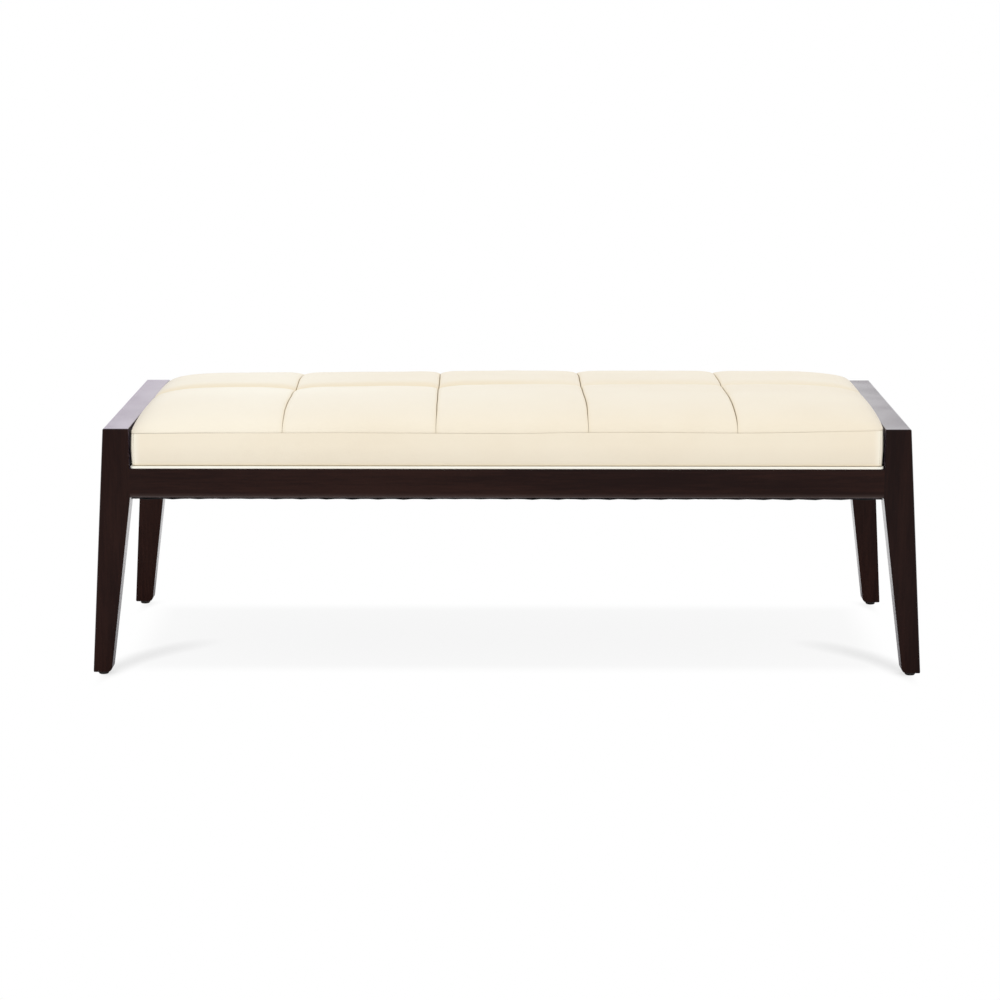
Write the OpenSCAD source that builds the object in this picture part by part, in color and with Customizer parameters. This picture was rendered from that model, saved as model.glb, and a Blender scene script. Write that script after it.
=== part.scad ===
// Waiting room bench: a splayed hardwood frame that holds a drop-in upholstered seat.
// X runs along the seat, -Y is the front, Z = 0 is the floor under the middle of the bench.

/* [Frame] */
// Length over the outer faces of the legs, at the top of the frame
top_length = 1447; // [1250:1:1800]
// Depth over the front and back faces of the legs
frame_depth = 560; // [500:1:640]
// Height of the leg tops and end rails above the floor
frame_height = 457; // [430:1:520]
// How far each leg's outer face leans out between its top and its foot
leg_splay = 30.5; // [10:0.5:45]
// Drop from the frame top to the deck that carries the seat
deck_drop = 73; // [66:1:90]
// Height of the front and back aprons
apron_height = 54; // [48:1:70]
// Thickness of the front and back aprons
apron_thickness = 25; // [20:1:30]
// Radius of the lower outer edge of the front and back aprons
apron_round = 7; // [3:0.5:8]

/* [Legs] */
// Width of a leg at its top, seen from the front
leg_top_width = 46; // [40:0.5:56]
// Width of a leg at its foot, seen from the front
leg_foot_width = 33.5; // [28:0.5:40]
// Depth of a leg where the aprons and end rails meet it
leg_depth = 42; // [38:1:50]
// Depth of a leg at its foot
leg_foot_depth = 32; // [28:1:38]
// Radius of the inner corner of the foot
foot_round = 10; // [4:1:14]
// Radius of the long outer edges of the frame
arris = 3; // [1:0.5:4]
// Radius of the lesser edges of the frame
small_arris = 1.5; // [0.5:0.25:2]

/* [Wood joints] */
// Length of the tenons at the ends of the aprons
apron_tenon_length = 24; // [15:1:26]
// Thickness of the apron tenons
apron_tenon_thickness = 10; // [6:1:12]
// Length of the tenons at the ends of the end rails
rail_tenon_length = 18; // [12:1:20]
// Thickness of the end rail tenons
rail_tenon_thickness = 12; // [8:1:14]
// Shoulder above and below every tenon
tenon_shoulder = 9; // [6:1:12]
// Clearance of a tenon in its mortise, on each side
joint_clearance = 0.1; // [0.05:0.05:0.3]
// Room left at the bottom of a mortise for glue
glue_room = 1; // [0.5:0.5:2]

/* [Seat supports] */
// Thickness of a cross rail
cross_rail_thickness = 22; // [18:1:28]
// Height of a cross rail
cross_rail_height = 45; // [36:1:47]
// Distance between the middles of the two cross rails
cross_rail_spacing = 450; // [350:10:560]
// Depth of the housing that a cross rail's end sits in
housing_depth = 6; // [4:0.5:10]
// Length of a corner block along the apron and along the end rail
block_leg = 85; // [80:1:100]
// Width of a corner block's blunt ends
block_blunt = 12; // [10:1:14]
// Height of the corner blocks and end cleats
block_height = 32; // [28:1:40]
// Width of an end cleat
cleat_width = 22; // [20:1:28]
// Gap between an end cleat and the corner blocks beside it
cleat_gap = 3; // [1:0.5:6]
// Distance between the three screws of an end cleat
cleat_screw_spacing = 120; // [100:5:125]

/* [Screws] */
// Diameter of a screw's shank
screw_diameter = 4.2; // [3.6:0.1:5]
// Diameter of a screw's countersunk head
screw_head = 8.4; // [7:0.1:9]
// Height of the straight rim of a screw's head
screw_rim = 0.6; // [0.4:0.1:1]
// Length of the screws that fix corner blocks and cleats
frame_screw_length = 38; // [34:1:38]
// Distance of a corner block's frame screws from its square corner
block_screw_place = 58; // [54:1:62]
// Thickness of wood that a frame screw clamps
clamped_wood = 22; // [20:1:24]
// Depth to which a seat screw enters the seat board
seat_screw_grip = 9; // [6:0.5:10]
// Distance of a corner block's seat screw from its square corner, both ways
seat_screw_place = 26; // [22:1:30]
// Distance between the two seat screws of an end cleat
cleat_seat_screws = 60; // [50:5:80]
// Clearance of a screw in its hole, on the radius
screw_clearance = 0.1; // [0.05:0.05:0.3]

/* [Glides] */
// Height of a glide under the foot
glide_height = 6; // [4:0.5:10]
// Diameter of a glide
glide_diameter = 19; // [15:0.5:24]
// Diameter of the nail that holds a glide
glide_nail = 3; // [2.5:0.1:4]
// Length of the nail inside the leg
glide_nail_length = 21; // [15:1:28]

/* [Seat] */
// Gap between the seat and each end rail
seat_side_gap = 3; // [2:0.5:6]
// Setback of the seat's front and back behind the faces of the legs
seat_setback = 3; // [2:0.5:8]
// Thickness of the plywood seat board
board_thickness = 12; // [11:1:14]
// Radius of the seat's upright corners
seat_corner = 6; // [5.5:0.5:8]
// Thickness of the leather bands round the seat, with their backing
band_thickness = 2; // [1.5:0.1:2.2]
// Drop of the band's top seam below the frame top
band_drop = 6; // [2:0.5:10]
// How far the seams draw the band in above and below its bulge
band_draw_in = 1.5; // [0.5:0.1:1.6]
// Diameter of the leather welt round the foot of the seat
welt_diameter = 5; // [4:0.1:6]
// How far the welt stands out past the band
welt_stand = 1; // [0.5:0.1:1.2]
// Clearance between soft pieces and their neighbours
soft_gap = 0.3; // [0.2:0.05:0.4]

/* [Seat top] */
// Height of the crown above the band's top seam
crown_height = 40; // [36:1:52]
// How much fuller the cushion is at its right end, and slacker at its left, than in its middle
crown_tilt = 2.5; // [-3:0.5:3]
// Thickness of a top panel where it is sewn down
panel_edge = 2; // [1.5:0.5:3]
// Width of each of the three middle panels
panel_width = 272; // [240:1:300]
// How far the sewn seams lie to the right of even spacing
seam_shift = 7.5; // [-12:0.5:12]
// Depth of the front row of panels, from the front of the seat
front_panel_depth = 297; // [260:1:360]
// Depth of the valleys at the seams from front to back
cross_seam_depth = 9; // [6:0.5:12]
// Depth of the crease at the seam along the bench
long_seam_depth = 9; // [3:0.5:9]
// Distance over which a panel rolls down into its seams
seam_roll = 45; // [30:5:100]
// Distance over which the crown rises from the ends of the seat
end_roll = 130; // [100:5:230]
// How gently it rises there: lower is steeper at the edge
end_softness = 0.25; // [0.15:0.05:0.5]
// Distance over which the crown rises from the front and back of the seat
side_roll = 170; // [150:5:210]
// How gently it rises there: lower is steeper at the edge
side_softness = 0.45; // [0.25:0.05:0.6]

/* [Dust cover] */
// Thickness of the dust cover under the seat
cover_thickness = 0.8; // [0.6:0.1:1.5]
// Distance of the dust cover's edge from the faces of the aprons
cover_inset = 4; // [3.5:0.5:14]
// Clearance between the dust cover and the legs
cover_leg_gap = 1.5; // [1:0.5:4]
// Width of the dust cover's lap under each end rail
cover_lap = 14; // [8:1:24]

/* [Hidden] */

espresso = [0.17, 0.12, 0.11];
beech = [0.80, 0.66, 0.48];
birch = [0.86, 0.77, 0.60];
ivory = [0.95, 0.91, 0.82];
foam_colour = [0.93, 0.90, 0.72];
black_nylon = [0.10, 0.09, 0.08];
black_cambric = [0.07, 0.07, 0.07];
zinc = [0.72, 0.72, 0.70];

// Planes of the frame, for the front right quarter
outer_top = top_length / 2;
inner_x = outer_top - leg_top_width;
outer_foot = outer_top + leg_splay;
inner_foot = outer_foot - leg_foot_width;
front_y = -frame_depth / 2;
leg_back_y = front_y + leg_depth;
foot_back_y = front_y + leg_foot_depth;
apron_back_y = front_y + apron_thickness;
deck_z = frame_height - deck_drop;
apron_z = deck_z - apron_height;
block_z = deck_z - block_height;
leg_lean = atan(leg_splay / (frame_height - glide_height));
inner_lean = atan((inner_foot - inner_x) / (apron_z - glide_height));
cross_rail_x = cross_rail_spacing / 2;
seat_screw_length = block_height + seat_screw_grip;
screw_z = deck_z - block_height / 2;
apron_tenon_y = front_y + apron_thickness / 2;
rail_tenon_x = inner_x + leg_top_width / 2;

// Outline of the seat and of what lies inside it
seat_x = inner_x - seat_side_gap;
seat_y = frame_depth / 2 - seat_setback;
corner_x = seat_x - seat_corner;
corner_y = seat_y - seat_corner;
welt_radius = welt_diameter / 2;
welt_corner = seat_corner + welt_stand - welt_radius;
welt_z = deck_z + soft_gap + welt_radius;
band_bottom_z = welt_z + welt_radius + soft_gap;
seam_z = frame_height - band_drop;
// The square-cornered core clears the rounded corners of the welt and of the band
core_round = min(welt_corner - welt_radius, seat_corner - band_draw_in - band_thickness);
core_x = corner_x + (core_round - soft_gap) * sqrt(0.5);
core_y = corner_y + (core_round - soft_gap) * sqrt(0.5);
panel_corner = seat_corner - band_draw_in;
panel_x = seat_x - band_draw_in;
panel_y = seat_y - band_draw_in;
foam_crown = crown_height - abs(crown_tilt) - cross_seam_depth - long_seam_depth - panel_edge;

// Lines of the sewn seams
seam_x = [for (i = [-1.5 : 1 : 1.5]) i * panel_width + seam_shift];
long_seam_y = front_panel_depth - seat_y;
column_edges = concat([-core_x], seam_x, [core_x]);
row_edges = [-core_y, long_seam_y, core_y];
column_cells = [6, 7, 7, 7, 6];
row_cells = [6, 5];
column_pinch = 2.4;
row_pinch = 1.9;
arc_steps = 8;

// Points of an outline whose corners are rounded, each by its own radius
function unit(v) = v / norm(v);
function corner_arc(before, p, after, r) =
    let (u = unit(before - p))
    let (w = unit(after - p))
    let (half = acos(u * w) / 2)
    let (centre = p + unit(u + w) * r / sin(half))
    let (from = p + u * r / tan(half) - centre)
    let (to = p + w * r / tan(half) - centre)
    let (start = atan2(from.y, from.x))
    let (sweep = (atan2(to.y, to.x) - start + 540) % 360 - 180)
    [for (i = [0 : arc_steps])
        let (angle = start + sweep * i / arc_steps)
        centre + r * [cos(angle), sin(angle)]];
function rounded(points, radii) =
    let (n = len(points))
    [for (i = [0 : n - 1])
        each radii[i] > 0
            ? corner_arc(points[(i + n - 1) % n], points[i], points[(i + 1) % n], radii[i])
            : [points[i]]];

// X of the frame's leaning outer face at a height
function outer_at(z) = outer_top + (frame_height - z) * tan(leg_lean);

// The seat's crown: how much of it is reached at a distance from the edge
function rise(d, roll, power) = d >= roll ? 1 : pow(1 - pow(1 - max(d, 0) / roll, 2), power);
function crown(x, y, inset) =
    rise(panel_x - inset - abs(x), end_roll, end_softness)
        * rise(panel_y - inset - abs(y), side_roll, side_softness);
// A panel's fall towards its seam: 1 on the seam, 0 where the roll ends
function valley(d) = d >= seam_roll ? 0 : 1 - sqrt(1 - pow(1 - d / seam_roll, 2));
function nearest(x, lines) = min([for (line = lines) abs(x - line)]);
function top_z(x, y) =
    let (share = crown(x, y, 0))
    let (full = crown_height + crown_tilt * x / panel_x - panel_edge)
    let (dip = cross_seam_depth * valley(nearest(x, seam_x)))
    let (crease = long_seam_depth * valley(abs(y - long_seam_y)))
    seam_z + panel_edge + share * (full - dip - crease);
function under_z(x, y) = seam_z + crown(x, y, panel_x - core_x) * foam_crown;

// Grid lines across a column or row of panels, closer beside both of its seams
function pinched(t, power) = t < 0.5 ? pow(2 * t, power) / 2 : 1 - pow(2 - 2 * t, power) / 2;
function grid_lines(from, to, cells, power) =
    [for (k = [0 : cells]) from + (to - from) * pinched(k / cells, power)];
function column_lines(c) = grid_lines(column_edges[c], column_edges[c + 1], column_cells[c], column_pinch);
function row_lines(r) = grid_lines(row_edges[r], row_edges[r + 1], row_cells[r], row_pinch);
function tail(v) = [for (i = [1 : len(v) - 1]) v[i]];

// An outline of Y and Z run along X, and one of X and Z run along Y
module along_x(from, to) {
    translate([from, 0, 0]) rotate([90, 0, 90]) linear_extrude(to - from) children();
}

module along_y(from, to) {
    translate([0, to, 0]) rotate([90, 0, 0]) linear_extrude(to - from) children();
}

// A block between two opposite corners
module block(low, high) {
    translate(low) cube(high - low);
}

// Puts a piece of the front right quarter at the back, or at the left
module back_if(back) {
    mirror([0, back ? 1 : 0, 0]) children();
}

module left_if(left) {
    mirror([left ? 1 : 0, 0, 0]) children();
}

// What a round-over takes off a square edge that runs along Z, with the wood at -X and +Y
module round_over(length, r) {
    translate([0, 0, -length])
        linear_extrude(length)
            difference() {
                translate([-r, -1]) square(r + 1);
                translate([-r, r]) circle(r, $fn = 48);
            }
}

// One tapered leg of the front right corner, with its mortises and the hole for its glide
module leg(left, back) {
    color(espresso)
        left_if(left) back_if(back) difference() {
            intersection() {
                along_y(front_y, leg_back_y) polygon(rounded(
                    [[inner_x, frame_height], [outer_top, frame_height], [outer_foot, glide_height],
                        [inner_foot, glide_height], [inner_x, apron_z]],
                    [small_arris, arris, arris, foot_round, 0]));
                along_x(inner_x - 1, outer_foot + 1) polygon(rounded(
                    [[front_y, frame_height], [front_y, glide_height], [foot_back_y, glide_height],
                        [leg_back_y, apron_z], [leg_back_y, frame_height]],
                    [arris, small_arris, arris, 0, 0]));
            }
            // Long outer edge at the front, full height
            translate([outer_top, front_y, frame_height])
                rotate([0, -leg_lean, 0])
                    translate([0, 0, arris])
                        round_over(frame_height + 2 * arris, arris);
            // Long inner edge at the front, below the apron
            translate([inner_x, front_y, apron_z])
                rotate([0, -inner_lean, 0])
                    mirror([1, 0, 0]) round_over(apron_z + arris, small_arris);
            apron_mortise();
            rail_mortise();
            translate([(inner_foot + outer_foot) / 2, (front_y + foot_back_y) / 2, glide_height - 1])
                cylinder(r = glide_nail / 2 + screw_clearance, h = glide_nail_length + 2, $fn = 32);
        }
}

// Mortise of the apron's tenon, from the leg's inner face
module apron_mortise() {
    half = apron_tenon_thickness / 2 + joint_clearance;
    block(
        [inner_x - 1, apron_tenon_y - half, apron_z + tenon_shoulder - joint_clearance],
        [inner_x + apron_tenon_length + glue_room, apron_tenon_y + half,
            deck_z - tenon_shoulder + joint_clearance]);
}

// Mortise of the end rail's tenon, from the leg's back face
module rail_mortise() {
    half = rail_tenon_thickness / 2 + joint_clearance;
    block(
        [rail_tenon_x - half, leg_back_y - rail_tenon_length - glue_room,
            apron_z + tenon_shoulder - joint_clearance],
        [rail_tenon_x + half, leg_back_y + 1, frame_height - tenon_shoulder + joint_clearance]);
}

// End rail between two legs, of the legs' own profile, tenoned into both
module end_rail(left) {
    color(espresso)
        left_if(left) difference() {
            union() {
                along_y(leg_back_y, -leg_back_y) polygon(rounded(
                    [[inner_x, frame_height], [outer_top, frame_height],
                        [outer_at(apron_z), apron_z], [inner_x, apron_z]],
                    [small_arris, arris, small_arris, small_arris]));
                block(
                    [rail_tenon_x - rail_tenon_thickness / 2, leg_back_y - rail_tenon_length,
                        apron_z + tenon_shoulder],
                    [rail_tenon_x + rail_tenon_thickness / 2, -leg_back_y + rail_tenon_length,
                        frame_height - tenon_shoulder]);
            }
            cleat_screws_at() pilot();
            for (back = [false, true]) {
                back_if(back) block_rail_screw_at() pilot();
            }
        }
}

// Front or back apron, tenoned into the legs and housed for the cross rails
module apron(back) {
    color(espresso)
        back_if(back) difference() {
            union() {
                along_x(-inner_x, inner_x) polygon(rounded(
                    [[front_y, deck_z], [front_y, apron_z], [apron_back_y, apron_z], [apron_back_y, deck_z]],
                    [small_arris, apron_round, small_arris, 0]));
                block(
                    [-inner_x - apron_tenon_length, apron_tenon_y - apron_tenon_thickness / 2,
                        apron_z + tenon_shoulder],
                    [inner_x + apron_tenon_length, apron_tenon_y + apron_tenon_thickness / 2,
                        deck_z - tenon_shoulder]);
            }
            for (x = [-cross_rail_x, cross_rail_x]) {
                half = cross_rail_thickness / 2 + joint_clearance;
                block(
                    [x - half, apron_back_y - housing_depth - joint_clearance,
                        deck_z - cross_rail_height - joint_clearance],
                    [x + half, apron_back_y + 1, deck_z + 1]);
            }
            for (left = [false, true]) {
                left_if(left) block_apron_screw_at() pilot();
            }
        }
}

// Cross rail that carries the middle of the seat board
module cross_rail(left) {
    x = left ? -cross_rail_x : cross_rail_x;
    color(beech)
        block(
            [x - cross_rail_thickness / 2, apron_back_y - housing_depth, deck_z - cross_rail_height],
            [x + cross_rail_thickness / 2, -apron_back_y + housing_depth, deck_z]);
}

// Cleat on the end rail that carries the end of the seat board
module end_cleat(left) {
    reach = -apron_back_y - block_leg - cleat_gap;
    color(beech)
        left_if(left) difference() {
            block([inner_x - cleat_width, -reach, block_z], [inner_x, reach, deck_z]);
            cleat_screws_at() clearance_hole();
            cleat_seat_screws_at() clearance_hole();
        }
}

// Glue block that squares a corner and takes the seat screw
module corner_block(left, back) {
    color(beech)
        left_if(left) back_if(back) difference() {
            translate([0, 0, block_z]) linear_extrude(block_height) polygon([
                [inner_x, apron_back_y],
                [inner_x, apron_back_y + block_leg],
                [inner_x - block_blunt, apron_back_y + block_leg],
                [inner_x - block_leg, apron_back_y + block_blunt],
                [inner_x - block_leg, apron_back_y]]);
            block_apron_screw_at() clearance_hole(block_leg);
            block_rail_screw_at() clearance_hole(block_leg);
            block_seat_screw_at() clearance_hole();
        }
}

// A countersunk screw whose head is flush at the origin and whose shank runs along +Z
module screw(length) {
    shank = screw_diameter / 2;
    head = screw_head / 2;
    rotate_extrude($fn = 32) polygon([
        [0, 0], [head, 0], [head, screw_rim], [shank, head - shank + screw_rim],
        [shank, length - screw_diameter], [0, length]]);
}

// Hole for a screw's shank and head, with room above the head for a driver
module clearance_hole(above = 1) {
    shank = screw_diameter / 2 + screw_clearance;
    head = screw_head / 2 + screw_clearance;
    rotate_extrude($fn = 32) polygon([
        [0, -above], [head, -above], [head, screw_rim], [shank, head - shank + screw_rim],
        [shank, seat_screw_length], [0, seat_screw_length]]);
}

// Hole that a screw's point has bored in the wood behind
module pilot() {
    cylinder(r = screw_diameter / 2 + screw_clearance, h = frame_screw_length + glue_room, $fn = 32);
}

// Places of the screws of the right end and of the front right corner
module cleat_screws_at() {
    for (i = [-1 : 1]) {
        translate([inner_x - clamped_wood, i * cleat_screw_spacing, screw_z]) rotate([0, 90, 0]) children();
    }
}

module cleat_seat_screws_at() {
    for (side = [-1, 1]) {
        translate([inner_x - cleat_width / 2, side * cleat_seat_screws, block_z]) children();
    }
}

module block_apron_screw_at() {
    translate([inner_x - block_screw_place, apron_back_y + clamped_wood, screw_z])
        rotate([90, 0, 0]) children();
}

module block_rail_screw_at() {
    translate([inner_x - clamped_wood, apron_back_y + block_screw_place, screw_z])
        rotate([0, 90, 0]) children();
}

module block_seat_screw_at() {
    translate([inner_x - seat_screw_place, apron_back_y + seat_screw_place, block_z]) children();
}

module frame_screws() {
    color(zinc)
        for (left = [false, true]) {
            left_if(left) cleat_screws_at() screw(frame_screw_length);
            for (back = [false, true]) {
                left_if(left) back_if(back) block_apron_screw_at() screw(frame_screw_length);
                left_if(left) back_if(back) block_rail_screw_at() screw(frame_screw_length);
            }
        }
}

module seat_screws_at() {
    for (left = [false, true]) {
        left_if(left) cleat_seat_screws_at() children();
        for (back = [false, true]) {
            left_if(left) back_if(back) block_seat_screw_at() children();
        }
    }
}

module seat_screws() {
    color(zinc) seat_screws_at() screw(seat_screw_length);
}

// Nail-on glide under a foot
module glide(left, back) {
    r = glide_diameter / 2;
    edge = small_arris;
    color(black_nylon)
        left_if(left) back_if(back)
            translate([(inner_foot + outer_foot) / 2, (front_y + foot_back_y) / 2, 0])
                rotate_extrude($fn = 48) polygon([
                    [0, 0], [r - edge, 0], [r, edge], [r, glide_height - edge / 2],
                    [r - edge / 2, glide_height], [glide_nail / 2, glide_height],
                    [glide_nail / 2, glide_height + glide_nail_length - glide_nail],
                    [0, glide_height + glide_nail_length]]);
}

// Plywood board that the seat is built on
module seat_board() {
    color(birch) difference() {
        block([-core_x, -core_y, deck_z], [core_x, core_y, deck_z + board_thickness]);
        seat_screws_at() pilot_in_board();
    }
}

module pilot_in_board() {
    cylinder(r = screw_diameter / 2 + screw_clearance, h = seat_screw_length + screw_clearance, $fn = 32);
}

// A closed solid over a grid: rows of points on top, the same rows below
module grid_solid(top, bottom) {
    n = len(top);
    m = len(top[0]);
    count = n * m;
    points = concat([for (row = top) each row], [for (row = bottom) each row]);
    rim = concat(
        [for (i = [0 : n - 1]) i * m],
        [for (j = [1 : m - 1]) (n - 1) * m + j],
        [for (i = [n - 2 : -1 : 0]) i * m + m - 1],
        [for (j = [m - 2 : -1 : 1]) j]);
    below = [count, count, count];
    cells = [for (i = [0 : n - 2])
        for (j = [0 : m - 2])
            [i * m + j, (i + 1) * m + j, (i + 1) * m + j + 1, i * m + j + 1]];
    polyhedron(
        points = points,
        faces = concat(
            [for (c = cells) each [[c[0], c[2], c[1]], [c[0], c[3], c[2]]]],
            [for (c = cells) each [[c[0], c[1], c[2]] + below, [c[0], c[2], c[3]] + below]],
            [for (k = [0 : len(rim) - 1])
                let (a = rim[k])
                let (b = rim[(k + 1) % len(rim)])
                each [[a, b, b + count], [a, b + count, a + count]]]));
}

// Foam slab: flat on the board, crowned on top, just under the panels
module seat_foam() {
    xs = concat(column_lines(0), [for (c = [1 : 4]) each tail(column_lines(c))]);
    ys = concat(row_lines(0), tail(row_lines(1)));
    color(foam_colour)
        grid_solid(
            [for (x = xs) [for (y = ys) [x, y, under_z(x, y) - soft_gap]]],
            [for (x = xs) [for (y = ys) [x, y, deck_z + board_thickness]]]);
}

// A point of the top's outline, drawn onto the rounded corner of the seat
function at_corner(x, y) =
    let (d = [max(abs(x) - corner_x, 0), max(abs(y) - corner_y, 0)])
    let (k = norm(d) > panel_corner ? panel_corner / norm(d) : 1)
    let (inside = min(d.x, d.y) > 0)
    inside ? [sign(x) * (corner_x + d.x * k), sign(y) * (corner_y + d.y * k)] : [x, y];

// One sewn top panel: leather with its fibre wadding, column 0 to 4, front row 0 or back row 1
module panel(column, row) {
    inner_xs = column_lines(column);
    inner_ys = row_lines(row);
    xs = column == 0 ? concat([-panel_x], inner_xs) : column == 4 ? concat(inner_xs, [panel_x]) : inner_xs;
    ys = row == 0 ? concat([-panel_y], inner_ys) : concat(inner_ys, [panel_y]);
    left = column == 0 ? -panel_x : column_edges[column] + soft_gap / 2;
    right = column == 4 ? panel_x : column_edges[column + 1] - soft_gap / 2;
    front = row == 0 ? -panel_y : long_seam_y + soft_gap / 2;
    rear = row == 1 ? panel_y : long_seam_y - soft_gap / 2;
    places = [for (x = xs) [for (y = ys) at_corner(min(max(x, left), right), min(max(y, front), rear))]];
    color(ivory)
        grid_solid(
            [for (i = [0 : len(xs) - 1]) [for (j = [0 : len(ys) - 1])
                [places[i][j].x, places[i][j].y, top_z(xs[i], ys[j])]]],
            [for (i = [0 : len(xs) - 1]) [for (j = [0 : len(ys) - 1])
                [places[i][j].x, places[i][j].y, under_z(xs[i], ys[j])]]]);
}

// Cross-section of a band: bulged outwards between its two seams, X = 0 at the fullest point
function bulge(t) = -band_draw_in * pow(2 * t - 1, 2);
module band_section() {
    height = seam_z - soft_gap - band_bottom_z;
    polygon(concat(
        [for (i = [0 : arc_steps]) [bulge(i / arc_steps), band_bottom_z + height * i / arc_steps]],
        [for (i = [arc_steps : -1 : 0])
            [bulge(i / arc_steps) - band_thickness, band_bottom_z + height * i / arc_steps]]));
}

// Band across the front or back, between the corner seams
module long_band(back) {
    color(ivory)
        back_if(!back) translate([0, seat_y, 0])
            along_x(-corner_x + soft_gap, corner_x - soft_gap) band_section();
}

// Band across an end, turned round both corners
module end_band(left) {
    color(ivory)
        left_if(left) union() {
            translate([seat_x, 0, 0]) along_y(-corner_y, corner_y) band_section();
            for (back = [false, true]) {
                back_if(back)
                    translate([corner_x, -corner_y, 0])
                        rotate([0, 0, -90])
                            rotate_extrude(angle = 90, $fn = 48)
                                translate([seat_corner, 0]) band_section();
            }
        }
}

// Leather welt round the foot of the seat
module seat_welt() {
    run_x = seat_x + welt_stand - welt_radius;
    run_y = seat_y + welt_stand - welt_radius;
    color(ivory)
        union() {
            for (side = [-1, 1]) {
                translate([-corner_x, side * run_y, welt_z])
                    rotate([0, 90, 0]) cylinder(r = welt_radius, h = 2 * corner_x, $fn = 32);
                translate([side * run_x, corner_y, welt_z])
                    rotate([90, 0, 0]) cylinder(r = welt_radius, h = 2 * corner_y, $fn = 32);
            }
            for (left = [false, true]) {
                for (back = [false, true]) {
                    left_if(left) back_if(back)
                        translate([corner_x, -corner_y, welt_z])
                            rotate([0, 0, -90])
                                rotate_extrude(angle = 90, $fn = 48)
                                    translate([welt_corner, 0]) circle(welt_radius, $fn = 32);
                }
            }
        }
}

// Black cambric stapled under the aprons and end rails, cut out round the legs
module dust_cover() {
    notch_x = inner_x - cover_leg_gap;
    notch_y = leg_back_y + cover_leg_gap;
    lap_x = inner_x + cover_lap;
    edge_y = front_y + cover_inset;
    quarter = [[notch_x, edge_y], [notch_x, notch_y], [lap_x, notch_y]];
    color(black_cambric)
        translate([0, 0, apron_z - cover_thickness]) linear_extrude(cover_thickness) polygon(concat(
            quarter,
            [for (i = [2 : -1 : 0]) [quarter[i].x, -quarter[i].y]],
            [for (i = [0 : 2]) -quarter[i]],
            [for (i = [2 : -1 : 0]) [-quarter[i].x, quarter[i].y]]));
}

leg(true, false);  // leg_front_left
leg(false, false);  // leg_front_right
leg(true, true);  // leg_back_left
leg(false, true);  // leg_back_right
end_rail(true);  // end_rail_left
end_rail(false);  // end_rail_right
apron(false);  // apron_front
apron(true);  // apron_back
cross_rail(true);  // cross_rail_left
cross_rail(false);  // cross_rail_right
end_cleat(true);  // end_cleat_left
end_cleat(false);  // end_cleat_right
corner_block(true, false);  // block_front_left
corner_block(false, false);  // block_front_right
corner_block(true, true);  // block_back_left
corner_block(false, true);  // block_back_right
frame_screws();
seat_screws();
glide(true, false);  // glide_front_left
glide(false, false);  // glide_front_right
glide(true, true);  // glide_back_left
glide(false, true);  // glide_back_right
seat_board();
seat_foam();
panel(0, 0);  // panel_front_1
panel(1, 0);  // panel_front_2
panel(2, 0);  // panel_front_3
panel(3, 0);  // panel_front_4
panel(4, 0);  // panel_front_5
panel(0, 1);  // panel_back_1
panel(1, 1);  // panel_back_2
panel(2, 1);  // panel_back_3
panel(3, 1);  // panel_back_4
panel(4, 1);  // panel_back_5
long_band(false);  // band_front
long_band(true);  // band_back
end_band(true);  // band_left
end_band(false);  // band_right
seat_welt();
dust_cover();
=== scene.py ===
"""Waiting room bench: a dark splayed wood frame that carries a sewn ivory leather seat.

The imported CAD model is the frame. The sections follow the bench as it is put together,
from the floor up: legs and rails, seat supports, glides, seat board, foam, leather, dust cover.
X runs along the seat, -Y is the front and Z = 0 is the floor. The scene is in metres; the
sizes of foam, leather and dust cover are listed in millimetres.
"""
import math

import bpy
import numpy as np
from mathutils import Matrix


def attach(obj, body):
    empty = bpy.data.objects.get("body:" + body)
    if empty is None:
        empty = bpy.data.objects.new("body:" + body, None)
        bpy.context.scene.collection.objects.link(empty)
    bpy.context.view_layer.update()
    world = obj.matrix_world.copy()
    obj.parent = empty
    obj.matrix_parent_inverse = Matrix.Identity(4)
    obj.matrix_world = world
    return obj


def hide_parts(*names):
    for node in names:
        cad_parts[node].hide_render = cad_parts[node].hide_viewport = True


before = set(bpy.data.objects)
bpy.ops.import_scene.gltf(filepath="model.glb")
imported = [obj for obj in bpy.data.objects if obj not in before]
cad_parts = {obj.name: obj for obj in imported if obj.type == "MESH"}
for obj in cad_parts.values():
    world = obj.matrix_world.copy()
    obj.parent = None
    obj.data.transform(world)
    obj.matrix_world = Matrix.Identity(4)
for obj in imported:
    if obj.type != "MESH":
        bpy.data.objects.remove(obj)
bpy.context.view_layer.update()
scene = bpy.context.scene
MM = 0.001


# Camera: it stands a little to the right of the bench's middle, well back and at about
# the height of a seated person's chin, and looks slightly down with a long lens.
CAMERA_PLACE = (0.0153, -4.7174, 1.2544)
CAMERA_DOWN = math.radians(11.793)
CAMERA_TURN = math.radians(0.3507)
CAMERA_LENS, CAMERA_SENSOR = 90.8, 36.0
CAMERA_FAR = 300


def added(name, data):
    """Adds an object that shows this data to the scene, at the origin."""
    made = bpy.data.objects.new(name, data)
    scene.collection.objects.link(made)
    return made


camera_data = bpy.data.cameras.new("photo_camera")
camera_data.lens = CAMERA_LENS
camera_data.sensor_width = CAMERA_SENSOR
camera_data.clip_end = CAMERA_FAR
camera = added("photo_camera", camera_data)
camera.location = CAMERA_PLACE
camera.rotation_euler = (math.radians(90) - CAMERA_DOWN, 0, CAMERA_TURN)
scene.camera = camera


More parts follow.
